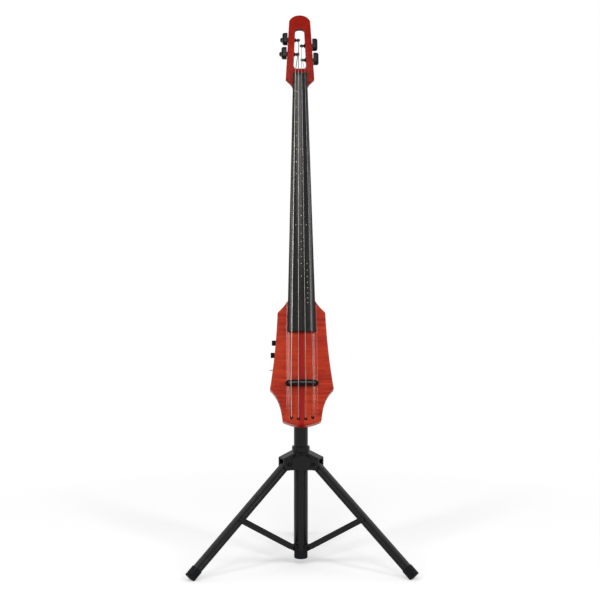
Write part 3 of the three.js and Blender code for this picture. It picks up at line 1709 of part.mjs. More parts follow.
add("volume_pot", pot(controls.knobHeights[0]), finishes.steel, onInstrument);
add("tone_pot", pot(controls.knobHeights[1]), finishes.steel, onInstrument);
add("switch_case", switchCase(), finishes.steel, onInstrument);
add("switch_lever", switchLever(), finishes.steel, onInstrument);
add("cavity_cover", cavityCover(), finishes.blackPlastic, onInstrument);
add("preamp_board", preampBoard(), finishes.circuitBoard, onInstrument);
add("output_jack", outputJack(), finishes.steel, onInstrument);
add("tilt_bracket", tiltBracket(), finishes.blackPaint, onInstrument);
add("tilt_head", tiltHeadSolid(), finishes.blackPlastic);
add("tilt_bolt", tiltBolt(), finishes.steel);
add("tilt_knob", tiltKnobSolid(), finishes.blackPlastic);
add("inner_tube", innerTube(), finishes.blackPaint);
add("stand_tube", standTube(), finishes.blackPaint);
add("height_clamp", heightClamp(), finishes.blackPlastic);
add("height_knob", heightKnob(), finishes.blackPlastic);
add("sliding_hub", hubSolid(), finishes.blackPlastic);
add("hub_knob", hubKnob(), finishes.blackPlastic);
add("lower_hub", lowerHubSolid(), finishes.blackPlastic);
for (let i = 0; i < legCount; i++) {
  const direction = legs.directions[i];
  const name = legs.names[i];
  add("leg_" + name, leg(direction), finishes.blackPaint);
  add("leg_foot_" + name, legFoot(direction), finishes.rubber);
  add("leg_pin_" + name, legPin(direction), finishes.steel);
  add("strut_" + name, strutChannel(direction), finishes.blackPaint);
  add("strut_pin_" + name, strutPin(direction), finishes.steel);
}

// The origin is on the floor, under the middle of the whole cello.
group.updateMatrixWorld(true);
const whole = new THREE.Box3().setFromObject(onStand, true);
onStand.position.y = -(whole.min.y + whole.max.y) / 2;

export default group;
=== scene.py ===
"""A four-string electric cello on its folding tripod stand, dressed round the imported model.

Sizes are in millimetres. The instrument's pieces are drawn in its own frame, with Z along it from its
lower end, Y back from the body's flat front and +X to the viewer's right. The stand's pieces are drawn
round its axis, from the floor up.
"""

import json
import math
from types import SimpleNamespace as Sizes

import bmesh
import bpy
from mathutils import Matrix, Vector


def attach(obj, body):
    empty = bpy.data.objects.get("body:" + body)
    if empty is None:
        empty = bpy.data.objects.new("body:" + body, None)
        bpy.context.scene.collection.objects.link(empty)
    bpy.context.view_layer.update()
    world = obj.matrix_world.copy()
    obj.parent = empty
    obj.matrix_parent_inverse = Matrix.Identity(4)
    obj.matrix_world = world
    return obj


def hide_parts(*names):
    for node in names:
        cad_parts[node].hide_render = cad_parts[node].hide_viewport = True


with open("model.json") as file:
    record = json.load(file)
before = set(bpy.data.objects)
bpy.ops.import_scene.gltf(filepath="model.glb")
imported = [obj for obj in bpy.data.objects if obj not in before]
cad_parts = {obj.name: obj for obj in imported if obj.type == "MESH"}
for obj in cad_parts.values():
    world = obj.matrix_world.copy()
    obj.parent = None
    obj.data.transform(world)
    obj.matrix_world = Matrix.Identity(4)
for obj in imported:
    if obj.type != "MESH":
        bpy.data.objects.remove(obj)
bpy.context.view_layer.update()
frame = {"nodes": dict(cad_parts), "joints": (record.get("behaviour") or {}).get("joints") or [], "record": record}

MM = 0.001
X, Y, Z = (Vector(axis) for axis in ((1, 0, 0), (0, 1, 0), (0, 0, 1)))
nodes = frame["nodes"]
slot_of = {part["node"]: part["material_slot"] for part in frame["record"]["subparts"]}
body_of = {
    node: body for body, members in frame["record"]["behaviour"]["bodies"].items() for node in members
}
pivot = next(Vector(joint["pos_m"]) for joint in frame["joints"] if joint["name"] == "tilt")
stand_axis = Vector((pivot.x, pivot.y, 0))

# Camera
# The photograph is 600 pixels square, and its view was fitted to the position dots and the feet.
view = Sizes(
    width=600,
    focal=1378,  # pixels
    distance=3000,
    height=790.8,
    azimuth=math.radians(1.22),
    pan=math.radians(0.037),
    pitch=math.radians(3.948),
)


def make_camera():
    data = bpy.data.cameras.new("camera")
    data.sensor_fit = "HORIZONTAL"
    data.angle = 2 * math.atan(view.width / 2 / view.focal)
    camera = bpy.data.objects.new("camera", data)
    ahead = Vector((math.sin(view.azimuth), math.cos(view.azimuth), 0))
    camera.location = stand_axis + Z * view.height * MM - ahead * view.distance * MM
    camera.rotation_euler = (math.pi / 2 - view.pitch, 0, -view.azimuth + view.pan)
    bpy.context.scene.collection.objects.link(camera)
    bpy.context.scene.camera = camera


make_camera()

# Sizes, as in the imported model. A value whose name ends in share or shares has no unit.
gap = 0.3
overrun = 2
weld = 0.002
scale_length = 690
lean = math.radians(17)
body = Sizes(
    thickness=38, roundover=3, corner=1.6, bottom_half=40.9, bottom_rise=10.3, tip_half=67.7, tip_height=78,
    shoulder_half=51.2, shoulder_height=243.5, neck_half=30.5, height=268.5, heel_thickness=21,
    heel_start=214, waist_shares=((0.07, 0.31), (0.25, 0.74)), side_share=0.33,
    side_slope_shares=(0.165, 0.04), hollow_shares=((0.76, 0.58),),
)
arch = Sizes(
    half=34, rise=7, fillet=0.8, margin=6, sunk=1, roll=3, start=1.2, stations=(40, 120, 200), top_gap=0.2,
)
board = Sizes(
    length=580, nut_half=15.8, end_half=30.8, thickness=10, radius=70, underside=8, edge=0.7,
    end_round=((0, 0.9), (0.25, 0.4), (0.7, 0.1), (1.2, 0)), end_share=0.5,
)
neck = Sizes(
    recess=0.8, tenon_half=25, tenon_depth=20, tenon_length=62, round_share=0.8,
    ring_shares=(0, 0.12, 0.5, 1), ring_backs=(20.5, 16.65, 15, 10.6), top_back=9.5,
)
head = Sizes(
    length=147.8, thickness=16, edge=1.2, roundover=1.8, flare_start=29, flare_half=31.8, top_half=23.6,
    crown_drop=14, flare_shares=((0.03, 0.5), (0.56, 0.68)), crown_shares=((0.2, 0.68), (0.56, 1)),
    slot_bottom=22, slot_top=117, slot_bottom_half=14, slot_top_half=10.3, slot_corner=5, slot_crown=6.5,
    ramp_depth=8, ramp_half=12,
)
nut = Sizes(
    length=7, overhang=0.4, clearance=0.9, edge=0.8,
    near_round=((0, 0.5), (0.2, 0.15), (0.6, 0)), far_round=((2.5, 0), (1, 0.7), (0, 2)),
)
strings = Sizes(
    names="cgda", radii=(0.8, 0.7, 0.6, 0.5), nut_spacing=7.1, bridge_spacing=15.53,
    hole_x=(-22.3, -7.6, 7.6, 22.3), hole_z=(16.2, 13.4, 13.4, 16.2), hole_radius=3.6,
    turns=2, turn_gap=0.5, bend=2.2, ball_radius=2.2, ball_length=4, ball_edge=0.5, silk_start=6,
    turns_reach=4.5, turn_points=32,
)
stripe = Sizes(middle=-1.2, half=5.2, fade=0.5)
dot = Sizes(radius=0.95, proud=0.12, sunk=0.4, sides=20, crown_share=0.8)
bridge = Sizes(
    height=88.5, half=35.2, waist_half=25, length=12, tip_length=2.4, taper_share=2.8, crest=22.4,
    crown_radius=90, edge=1.6, edge_share=0.7, end_round=0.5, screw_inset=5.6, screw_head=2.3,
    screw_shank=1.4, screw_depth=7, screw_crown=((0, 0), (1.5, 0.1), (2.3, 0.8)), slot_reach=1.5,
    slot_depth=0.9,
)
saddle = Sizes(half=28.5, length=2.6, depth=5, crest=25.2, crown_radius=66, roundness=0.8, groove_gap=0.1)
anchor = Sizes(half=27, height=14, thickness=3, recess=8, centre=15.2)
tuner = Sizes(
    heights=(56.5, 90.5, 77, 43), sides=(-1, -1, 1, 1), reach=11.6, cone_radius=5.8, cone_length=3.2,
    cone_edge=(0.3, 0.4), cone_share=1.4, waist_radius=2.4, tip_radius=3.3, tip_length=2, tip_edge=0.5,
    tip_slope=0.8, shaft_radius=4, worm_radius=2.5, worm_clearance=0.3, worm_edge=0.4,
)
case = Sizes(out=11.7, height=28, depth=15.2, wall=1.5, shift=2.8, corner=6, edge=4.4)
gear = Sizes(radius=5.7, width=5, inset=3.1, teeth=12, tooth_depth=0.7)
# The shares are of a key's half width and of its length.
key = Sizes(
    shaft=2, collar=3, collar_length=2.2, width=22, length=17, thickness=7, edge=1.6,
    root_shares=((0.6, 0.02), (1.05, 0.22), (1, 0.55)), crown_shares=((0.95, 0.95), (0.45, 1.06), (0, 0.9)),
)
knob = Sizes(
    heights=(180.1, 153.4), depth=19, radius=5.7, length=8.6, edge=0.7, line_half=0.35, line_start=0.8,
    line_depth=0.4, standoff=0.9, ribs=30, rib_depth=0.3, shaft_radius=3, shaft_run=10.2, shaft_lap=1,
    bushing=4.7, spot_radius=7.6, spot_depth=1, wall=9,
)
switch = Sizes(height=120.9, bushing=3.6, reach=7.2, pivot=4, root=1, tip=1.6, ball=2.4)
cavity = Sizes(bottom=104.5, top=198.5, inner=27, floor=10, ledge=3.5, cover=2.5, corner=3)
jack = Sizes(x=28, height=56.5, radius=5.7, length=27)
bracket = Sizes(half=19, height=60, plate=5, standoff=40, pivot_height=184.5)
screw = Sizes(
    slot_half=0.25, slot_depth=0.3, slot_share=0.55, shank_share=0.6, shank=1.5, end=2, dome_share=0.7,
    dome=0.35, crown=0.45, cover_radius=2.2, cover_margin=2, bracket_radius=3, bracket_margin=(6.5, 5.5),
)
hub_face = Sizes(
    reach=26, half=19.2, low=213.8, shoulder=239.2, peak=246.2, proud=2.6, corner=1.5, lap=1, edge=0.5,
    rib=(45, 49.6), rib_side=11.8, rib_proud=1.6, rib_height=(222.5, 240.2),
)
bumper = Sizes(
    bottom=12.4, top=31.6, radius=14.9, neck_radius=14.2, low_radius=12.6, rises=(0.5, 1.9), drop=1,
)
nut_height = bridge.height + scale_length
board_front = -(board.underside + board.thickness)
board_end = nut_height - board.length
head_front = -board.underside + gap
head_back = head_front + head.thickness
post_depth = (head_front + head_back) / 2
worm_rise = gear.radius + tuner.worm_clearance + tuner.worm_radius
screw_x = bridge.half - bridge.screw_inset
pivot_depth = body.thickness + bracket.standoff
arch_radius = (arch.half**2 + arch.rise**2) / (2 * arch.rise)

ON_STAND = Matrix.Translation(stand_axis) @ Matrix.Scale(MM, 4)
ON_INSTRUMENT = (
    Matrix.Translation(pivot)
    @ Matrix.Rotation(-lean, 4, "X")
    @ Matrix.Scale(MM, 4)
    @ Matrix.Translation((0, -pivot_depth, -bracket.pivot_height))
)
# Along the lean from the row frame's origin, as the materials measure it
nut_line = (Matrix.Rotation(lean, 3, "X") @ (ON_INSTRUMENT @ (Z * nut_height))).z / MM


# Geometry
def on_side(side, depth, z):
    """A frame with its X out from the instrument's middle on one side."""
    return ON_INSTRUMENT @ Matrix.Translation((0, depth, z)) @ Matrix.Diagonal((side, 1, 1, 1))


def lerp(a, b, share):
    return a + (b - a) * share


def around(middle, half):
    return (middle - half, middle + half)


def spread(low, high, steps):
    """Even places from low to high, both ends too."""
    return [lerp(low, high, i / steps) for i in range(steps + 1)]


def arc(steps, sweep=math.pi / 2, start=0):
    """Cosines and sines at even places along an arc, both ends too."""
    turns = (start + sweep * i / steps for i in range(steps + 1))
    return [(math.cos(turn), math.sin(turn)) for turn in turns]


def circle(count):
    return arc(count, 2 * math.pi)[:-1]


def arc_rise(x, radius):
    """How far a round surface falls back at a distance from its middle."""
    return radius - math.sqrt(max(0, radius * radius - x * x))


def bezier(*points, steps):
    """Points of a Bezier curve of any degree, without its last."""
    degree = len(points) - 1
    made = []
    for i in range(steps):
        t = i / steps
        weights = [math.comb(degree, k) * t**k * (1 - t) ** (degree - k) for k in range(degree + 1)]
        made.append(tuple(sum(w * p[axis] for w, p in zip(weights, points)) for axis in (0, 1)))
    return made


def curve(a, b, shares, steps):
    """A Bezier curve whose inner points lie at shares of the way from its one end to the other."""
    inner = [(lerp(a[0], b[0], across), lerp(a[1], b[1], up)) for across, up in shares]
    return bezier(a, *inner, b, steps=steps)


def mirrored_outline(half):
    """A closed outline from the points of its right half, lowest first."""
    return half + [(-x, z) for x, z in reversed(half) if abs(x) > 1e-6]


def corners(outline):
    """Each point of a closed outline, between the two beside it."""
    count = len(outline)
    return [[Vector(outline[(i + k) % count]) for k in (-1, 0, 1)] for i in range(count)]


def inset(outline, distance):
    """The outline moved inwards, with its corners kept sharp. It runs counter-clockwise."""
    made = []
    for before, here, after in corners(outline):
        sides = ((here - before).normalized(), (after - here).normalized())
        first, second = (Vector((-side.y, side.x)) for side in sides)
        middle = (first + second).normalized()
        made.append(tuple(here + middle * (distance / max(middle.dot(first), 0.3))))
    return made


def softened(outline, radius, angle=math.radians(24)):
    """The outline with each corner sharper than the angle made round."""
    made = []
    for before, here, after in corners(outline):
        back = (before - here).normalized()
        ahead = (after - here).normalized()
        if math.pi - back.angle(ahead) < angle:
            made.append(tuple(here))
            continue
        start, end = (tuple(here + way * radius) for way in (back, ahead))
        made += bezier(start, tuple(here), end, steps=4) + [end]
    return made


def rounded_box(width, height, corner):
    made = []
    for k, (x, z) in enumerate(((1, -1), (1, 1), (-1, 1), (-1, -1))):
        centre = Vector((x * (width / 2 - corner), z * (height / 2 - corner)))
        made += [tuple(centre + corner * Vector(turn)) for turn in arc(8, start=math.pi / 2 * (k - 1))]
    return made


def rim_levels(span, edge, steps, both=True):
    """How far a shape with rounded rims lies back from its side, and where along its span."""
    rims = [(edge * (1 - s), edge * (1 - c)) for c, s in arc(steps)] if edge else [(0, 0)]
    levels = [(back, span[0] + front) for back, front in (rims if both else [(0, 0)])]
    return levels + [(back, span[1] - front) for back, front in reversed(rims)]


def make_object(name, vertices, faces, place=ON_INSTRUMENT):
    mesh = bpy.data.meshes.new(name)
    mesh.from_pydata([place @ Vector(v) for v in vertices], [], faces)
    shape = bmesh.new()
    shape.from_mesh(mesh)
    bmesh.ops.remove_doubles(shape, verts=shape.verts, dist=weld * MM)
    bmesh.ops.recalc_face_normals(shape, faces=shape.faces)
    shape.to_mesh(mesh)
    shape.free()
    made = bpy.data.objects.new(name, mesh)
    bpy.context.scene.collection.objects.link(made)
    return made


def skin(rings, start=0):
    """Vertices and faces of a closed skin over rings with one count of points, numbered from a start."""
    count = len(rings[0])
    vertices = [point for ring in rings for point in ring]
    end = start + len(vertices)
    faces = [tuple(range(start, start + count)), tuple(range(end - count, end))]
    for low in range(start, end - count, count):
        for i in range(count):
            a, b = (low + i, low + (i + 1) % count)
            faces.append((a, b, b + count, a + count))
    return vertices, faces


def loft(name, rings, place=ON_INSTRUMENT):
    return make_object(name, *skin(rings), place)


def slab(name, outline, y, edge=0, place=ON_INSTRUMENT, steps=5, axes=(0, 1, 2), both=True, corner=0):
    """An outline in X and Z carried along Y, with both its rims or its far one rounded over.

    A corner radius makes its sharp corners round.
    """
    rings = []
    for back, depth in rim_levels(y, edge, steps, both):
        rim = inset(outline, back) if back else outline
        rim = softened(rim, corner) if corner else rim
        rings.append([tuple((x, depth, z)[axis] for axis in axes) for x, z in rim])
    return loft(name, rings, place)


def lathe(name, profile, axis=Z, at=(0, 0, 0), sides=48, place=ON_INSTRUMENT):
    """A turned shape from pairs of radius and distance along the axis."""
    turn = Z.rotation_difference(axis).to_matrix()
    rings = []
    for radius, along in profile:
        reach = max(radius, weld / 2)
        rings.append([Vector(at) + turn @ Vector((reach * c, reach * s, along)) for c, s in circle(sides)])
    return loft(name, rings, place)


def bar(radius, axis, span, at=(0, 0, 0), sides=48, place=ON_INSTRUMENT, edge=0):
    """A round bar along an axis as a tool, with its rims cut back at their edges."""
    turn = Y.rotation_difference(axis).to_matrix()
    low, high = span
    levels = [(low, radius - edge), (high, radius - edge)]
    if edge:
        levels[1:1] = [(low + edge, radius), (high - edge, radius)]
    rings = []
    for along, reach in levels:
        rings.append([Vector(at) + turn @ Vector((reach * c, along, reach * s)) for c, s in circle(sides)])
    return loft("tool", rings, place)


def block(x, y, z, place=ON_INSTRUMENT, name="tool"):
    vertices = [(a, b, c) for c in z for b in y for a in x]
    faces = [(0, 1, 3, 2), (4, 5, 7, 6), (0, 1, 5, 4), (2, 3, 7, 6), (0, 2, 6, 4), (1, 3, 7, 5)]
    return make_object(name, vertices, faces, place)


def wire(name, points, radius):
    """A tube along a line of points, with its rings turned as little as possible."""
    points = [Vector(p) for p in points]
    rings = []
    side = None
    for i, point in enumerate(points):
        ahead = (points[min(i + 1, len(points) - 1)] - point).normalized()
        behind = (point - points[max(i - 1, 0)]).normalized()
        along = (ahead + behind).normalized()
        side = (side - along * side.dot(along) if side else along.cross(X)).normalized()
        up = along.cross(side)
        rings.append([point + side * (radius * c) + up * (radius * s) for c, s in circle(12)])
    return loft(name, rings)


def given(thing, **values):
    """The thing with its values set."""
    for name, value in values.items():
        setattr(thing, name, value)
    return thing


def settle(piece):
    """Applies the piece's modifiers."""
    graph = bpy.context.evaluated_depsgraph_get()
    old = piece.data
    piece.data = bpy.data.meshes.new_from_object(piece.evaluated_get(graph))
    piece.modifiers.clear()
    bpy.data.meshes.remove(old)


def combine(piece, tools, operation):
    for tool in tools:
        given(piece.modifiers.new("combine", "BOOLEAN"), operation=operation, solver="EXACT", object=tool)
    settle(piece)
    for tool in tools:
        bpy.data.objects.remove(tool)


def joined(piece, *tools):
    combine(piece, tools, "UNION")


def cut(piece, *tools):
    combine(piece, tools, "DIFFERENCE")


def smoothed(piece, angle):
    """Smooth shading, with a crease where faces meet at more than the angle in degrees."""
    mesh = piece.data
    mesh.polygons.foreach_set("use_smooth", [True] * len(mesh.polygons))
    mesh.set_sharp_from_angle(angle=math.radians(angle))
    given(piece.modifiers.new("even", "WEIGHTED_NORMAL"), keep_sharp=True, weight=60)
    settle(piece)


def eased(piece, width):
    """Rounds the piece's sharp edges."""
    shape = bmesh.new()
    shape.from_mesh(piece.data)
    bmesh.ops.dissolve_limit(shape, angle_limit=math.radians(0.5), verts=shape.verts, edges=shape.edges)
    shape.to_mesh(piece.data)
    shape.free()
    bevel = piece.modifiers.new("ease", "BEVEL")
    given(bevel, width=width * MM, segments=2, limit_method="ANGLE", angle_limit=math.radians(34))
    settle(piece)


def paint(piece, material):
    piece.data.materials.clear()
    piece.data.materials.append(material)


def stands_for(piece, node, material=None, angle=32, slot=None):
    """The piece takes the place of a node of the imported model, on its body and in its finish."""
    smoothed(piece, angle)
    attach(piece, body_of[node])
    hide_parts(node)
    paint(piece, material or finish_of[slot or slot_of[node]])


def added(piece, body_name, slot, material=None):
    """A piece of detail that no node stands for."""
    smoothed(piece, 32)
    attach(piece, body_name)
    paint(piece, material or finish_of[slot])


# Materials
def fill(made, inputs):
    """Links or sets a shader node's inputs."""
    for name, value in inputs.items():
        if isinstance(value, bpy.types.NodeSocket):
            made.id_data.links.new(value, made.inputs[name])
        else:
            made.inputs[name].default_value = value


def node(kind, inputs, tree=None, output=0, **settings):
    """An output of a new shader node, which goes in the tree of its inputs unless a tree is named."""
    sockets = [value for value in inputs.values() if isinstance(value, bpy.types.NodeSocket)]
    made = (tree or sockets[0].id_data).nodes.new("ShaderNode" + kind)
    fill(given(made, **settings), inputs)
    return made.outputs[output]


def srgb(*levels):
    """A colour from its 0 to 255 levels."""
    linear = [v / 12.92 / 255 if v <= 10 else ((v / 255 + 0.055) / 1.055) ** 2.4 for v in levels]
    return (*linear, 1)


def new_material(name, inputs_of, *looks, tilted=True, **more_looks):
    """A material whose shader inputs a function gives for the place in millimetres.

    The place runs along the instrument's own axes where tilted.
    """
    material = bpy.data.materials.new(name)
    material.use_nodes = True
    row_place = node("TexCoord", {}, material.node_tree, "Object")
    turn = (lean if tilted else 0, 0, 0)
    place = node("Mapping", {"Vector": row_place, "Rotation": turn, "Scale": (1 / MM,) * 3})
    fill(material.node_tree.nodes["Principled BSDF"], inputs_of(place, *looks, **more_looks))
    return material


def stretched(place, scale):
    return node("Mapping", {"Vector": place, "Scale": scale})


def noise(place, scale, detail=2, roughness=0.5, distortion=0):
    """Noise with so many features a millimetre along each axis."""
    inputs = {"Vector": stretched(place, scale), "Scale": 1, "Detail": detail, "Roughness": roughness}
    return node("TexNoise", {**inputs, "Distortion": distortion})


def ramp(value, *stops):
    """A colour that runs between two stops, each a position and a colour."""
    made = node("ValToRGB", {"Fac": value})
    for element, (position, colour) in zip(made.node.color_ramp.elements, stops):
        given(element, position=position, color=srgb(*colour))
    return made


def remap(value, low, high, to_low=0, to_high=1):
    inputs = {"Value": value, "From Min": low, "From Max": high, "To Min": to_low, "To Max": to_high}
    return node("MapRange", inputs)


def mix(share, a, b):
    """A blend of two colours, or of two values as greys."""
    return node("Mix", {0: share, 6: a, 7: b}, output=2, data_type="RGBA")


def bumped(height, distance, strength):
    """The surface's direction with a height laid over it."""
    return node("Bump", {"Height": height, "Distance": distance * MM, "Strength": strength})


def flamed_wood(place, light, dark, glow, red=None, flame=1, coat=0.22, specular=0.04, satin_share=0.3):
    """Stained flamed maple with its flame across, and along its middle a redder stripe if one is given.

    The front is lacquered to a gloss, the sides and back to a satin.
    """
    normal = node("TexCoord", {}, place.id_data, "Normal")
    towards_front = (0, -math.cos(lean), math.sin(lean))
    facing = node("VectorMath", {0: normal, 1: towards_front}, output="Value", operation="DOT_PRODUCT")
    flame_fine = noise(place, (0.018, 0.03, 0.24), 4, 0.55, 0.4)
    flame_wide = noise(place, (0.012, 0.02, 0.07), distortion=0.6)
    cloud = noise(place, (0.022, 0.02, 0.009))
    pores = noise(place, (1.6, 1.6, 0.05))
    flames = mix(0.35, flame_fine, flame_wide)
    contrast = 0.13 / flame
    wood = ramp(flames, (0.5 - contrast, dark), (0.5 + contrast, light))
    wood = mix(remap(cloud, 0.4, 0.65, 0, 0.4), wood, srgb(*glow))
    if red:
        across = node("SeparateXYZ", {"Vector": place})
        offset = node("Math", {0: across, 1: stripe.middle}, operation="SUBTRACT")
        away = node("Math", {0: offset}, operation="ABSOLUTE")
        wood = mix(remap(away, stripe.half, stripe.half + stripe.fade, 1, 0), wood, srgb(*red))
    lacquer = bumped(noise(place, (0.05,) * 3), 0.12, 0.25)
    return {
        "Base Color": mix(remap(pores, 0.45, 0.7, 0, 0.22), wood, srgb(*dark)),
        "Roughness": remap(flames, 0.35, 0.65, 0.42, 0.28),
        "Specular IOR Level": specular,
        "Coat Weight": remap(facing, 0.35, 0.85, satin_share * coat, coat),
        "Coat Roughness": 0.09,
        "Normal": lacquer,
        "Coat Normal": lacquer,
    }


def ebony_wood(place):
    streaks = noise(place, (0.9, 0.9, 0.012), 4, 0.6)
    worn = noise(place, (0.05, 0.05, 0.01))
    return {
        "Base Color": ramp(streaks, (0.35, (8, 7, 9)), (0.7, (20, 19, 20))),
        "Roughness": remap(worn, 0.3, 0.7, 0.17, 0.24),
        "Specular IOR Level": 0.2,
        "Normal": bumped(noise(place, (3, 3, 0.12)), 0.03, 0.2),
    }


def moulding(place, colour, roughness, specular=0.3, grain=0.6):
    """Moulded plastic or rubber with a fine texture."""
    texture = noise(place, (grain,) * 3, 4, 0.7)
    cloud = noise(place, (0.03,) * 3, 3)
    worn = [level * 1.25 + 3 for level in colour]
    return {
        "Base Color": mix(remap(cloud, 0.35, 0.7), srgb(*colour), srgb(*worn)),
        "Roughness": remap(texture, 0.3, 0.7, roughness - 0.06, roughness + 0.06),
        "Specular IOR Level": specular,
        "Normal": bumped(texture, 0.05, 0.5),
    }


def powder_coat(place, colour, roughness, specular):
    """Black paint on metal, with fine orange peel and a few rubbed places."""
    dust = noise(place, (0.02, 0.02, 0.015), 5, 0.65)
    rubbed = [level + 8 for level in colour]
    return {
        "Base Color": mix(remap(dust, 0.5, 0.75), srgb(*colour), srgb(*rubbed)),
        "Roughness": remap(dust, 0.35, 0.7, roughness - 0.05, roughness + 0.08),
        "Specular IOR Level": specular,
        "Normal": bumped(noise(place, (0.9,) * 3), 0.04, 0.4),
    }


def bright_steel(place):
    brushed = noise(place, (0.05, 1.5, 1.5), 4, 0.6)
    return {
        "Metallic": 1,
        "Base Color": ramp(brushed, (0.3, (160.72, 160.72, 162.36)), (0.7, (196, 196, 198))),
        "Roughness": remap(brushed, 0.3, 0.7, 0.22, 0.36),
        "Normal": bumped(brushed, 0.02, 0.3),
    }


def wound_steel(place, post_height, dull, bright, silk):
    """A string's flat winding in fine rings, and above the nut its silk, with painted shade that darkens its turns
    on the post to near black.
    """
    winding = {"Vector": stretched(place, (0, 0, 2.2)), "Scale": 1}
    rings = node("TexWave", winding, output="Fac", bands_direction="Z")
    tarnish = noise(place, (0.2, 0.2, 0.02), 3)
    height = node("SeparateXYZ", {"Vector": place}, output="Z")
    silk_start = nut_line + nut.length + strings.silk_start
    turns_start = nut_line + post_height - strings.turns_reach
    in_silk = remap(height, silk_start, silk_start + 1)
    # Painted shade: the silk's turns on the post, down in the head's slot, are mixed to near black.
    silk_with_painted_shade = mix(remap(height, turns_start, turns_start + 1), srgb(*silk), srgb(14, 13, 14))
    return {
        "Metallic": remap(in_silk, 0, 1, 0.9, 0),
        "Base Color": mix(in_silk, ramp(tarnish, (0.35, dull), (0.7, bright)), silk_with_painted_shade),
        "Roughness": remap(tarnish, 0.3, 0.7, 0.34, 0.46),
        "Normal": bumped(rings, 0.03, 0.4),
    }


def solder_mask(place):
    colours = {"Color1": srgb(22, 78, 42), "Color2": srgb(18, 66, 36), "Mortar": srgb(48, 120, 66)}
    tracks = node("TexBrick", {"Vector": stretched(place, (0.1,) * 3), "Scale": 1, **colours})
    return {"Base Color": tracks, "Roughness": 0.35}


finish_of = {
    "flamed_maple": new_material(
        "flamed_maple_lacquer", flamed_wood, (182, 54, 22), (140, 25, 9), (188, 58, 15), (146, 13, 5),
    ),
    "head_maple": new_material(
        "head_maple_lacquer", flamed_wood, (149, 26, 12), (117, 13, 6), (153, 31, 12),
        flame=0.8, coat=0.04, specular=0.02,
    ),
    "ebony": new_material("ebony_wood", ebony_wood),
    "black_plastic": new_material("black_plastic", moulding, (11, 11, 13), 0.38, 0.2, tilted=False),
    "black_metal": new_material("black_metal", powder_coat, (3, 3, 4), 0.24, 0.13, tilted=False),
    "black_paint": new_material("black_paint", powder_coat, (7, 8, 11), 0.3, 0.22, tilted=False),
    "steel": new_material("bright_steel", bright_steel, tilted=False),
    "rubber": new_material("foot_rubber", moulding, (12, 14, 17), 0.7, 0.12, grain=1.2, tilted=False),
    "circuit_board": new_material("solder_mask", solder_mask),
    "saddle_grey": new_material("saddle_grey", moulding, (72, 62, 61), 0.35),
}
black_plastic_up = new_material("black_plastic_instrument", moulding, (3, 3, 4), 0.3, 0.1)
pearl = new_material("dot_inlay", moulding, (158, 153, 146), 0.35)
winding_looks = (
    ((152, 144, 134), (204, 197, 186), (50, 43, 47)),
    ((128, 121, 114), (172, 166, 158), (46, 38, 48)),
    ((122, 115, 109), (164, 158, 151), (150, 150, 142)),
    ((104, 98, 93), (142, 137, 131), (150, 148, 140)),
)
windings = [
    new_material("wound_steel_" + name, wound_steel, height, *looks)
    for name, height, looks in zip(strings.names, tuner.heights, winding_looks)
]
for name, cad in nodes.items():
    paint(cad, finish_of[slot_of[name]])


# Outlines of the body
tip = (body.tip_half, body.tip_height)
shoulder = (body.shoulder_half, body.shoulder_height)
neck_corner = (body.neck_half, body.height)


def body_side(side_steps, hollow_steps):
    """The body's right side, from its wide corner up to the neck."""
    pull = body.side_share * (body.shoulder_height - body.tip_height)
    tip_slope, shoulder_slope = body.side_slope_shares
    side = bezier(
        tip, (tip[0] - tip_slope * pull, tip[1] + pull),
        (shoulder[0] + shoulder_slope * pull, shoulder[1] - pull), shoulder, steps=side_steps,
    )
    return side + curve(shoulder, neck_corner, body.hollow_shares, hollow_steps) + [neck_corner]


def body_half(height):
    """The body's half width, from its wide corners up to the neck."""
    points = body_side(200, 40)
    for (x0, z0), (x1, z1) in zip(points, points[1:]):
        if z0 <= height <= z1:
            return lerp(x0, x1, (height - z0) / (z1 - z0))
    return body.neck_half


def body_outline():
    low = (body.bottom_half, body.bottom_rise)
    half = bezier((0, 0), (low[0] / 2, 0), low, steps=12)
    half += curve(low, tip, body.waist_shares, 16)
    return mirrored_outline(half + body_side(24, 10))


def arch_top(x):
    return arc_rise(x, arch_radius) - arch.rise


def arch_depth(x):
    """Depth of the arched front, which runs out into the flat in a small fillet."""
    return (arch_top(x) - math.hypot(arch_top(x), arch.fillet)) / 2 + 0.1 * arch.fillet


def arch_skin():
    """The arched front as a closed skin, rolled over at the body's lower end."""
    widest = arch.half + arch.margin
    shares = spread(-1, 1, 80)
    rings = []
    for station in [arch.roll * (1 - c) for c, s in arc(6)] + list(arch.stations):
        drop = arc_rise(max(0, arch.roll - station), arch.roll)
        ring = []
        for x in (share * widest for share in shares):
            z = body.bottom_rise * (x / body.bottom_half) ** 2 + arch.start + station
            ring.append((x, min(arch_depth(x) + drop, arch.sunk), z))
        rings.append(ring)
    for z in spread(body.shoulder_height, body.height - arch.top_gap, 10):
        half = min(widest, body_half(z) - body.roundover)
        rings.append([(share * half, min(arch_depth(share * half), arch.sunk), z) for share in shares])
    back = body.thickness / 3
    return loft("arch", [ring + [(x, back, z) for x, _, z in reversed(ring)] for ring in rings])


def cavity_tool(grow, y):
    low, high = (cavity.bottom - grow, cavity.top + grow)
    inner = grow - cavity.inner
    wall_low, wall_high = (knob.wall - grow - body_half(z) for z in (cavity.bottom, cavity.top))
    outline = [(wall_low, low), (inner, low), (inner, high), (wall_high, high)]
    return slab("tool", softened(outline, cavity.corner), y)


def heel_wedge():
    """What is sloped off the body's back towards the neck."""
    run = body.height - body.heel_start
    slope = (body.thickness - body.heel_thickness) / run
    ends = (-overrun, run + overrun)
    section = [(body.thickness - slope * rise, body.heel_start + rise) for rise in ends]
    section += [(2 * body.thickness, z) for _, z in reversed(section)]
    return slab("tool", section, around(0, body.tip_half), axes=(1, 0, 2))


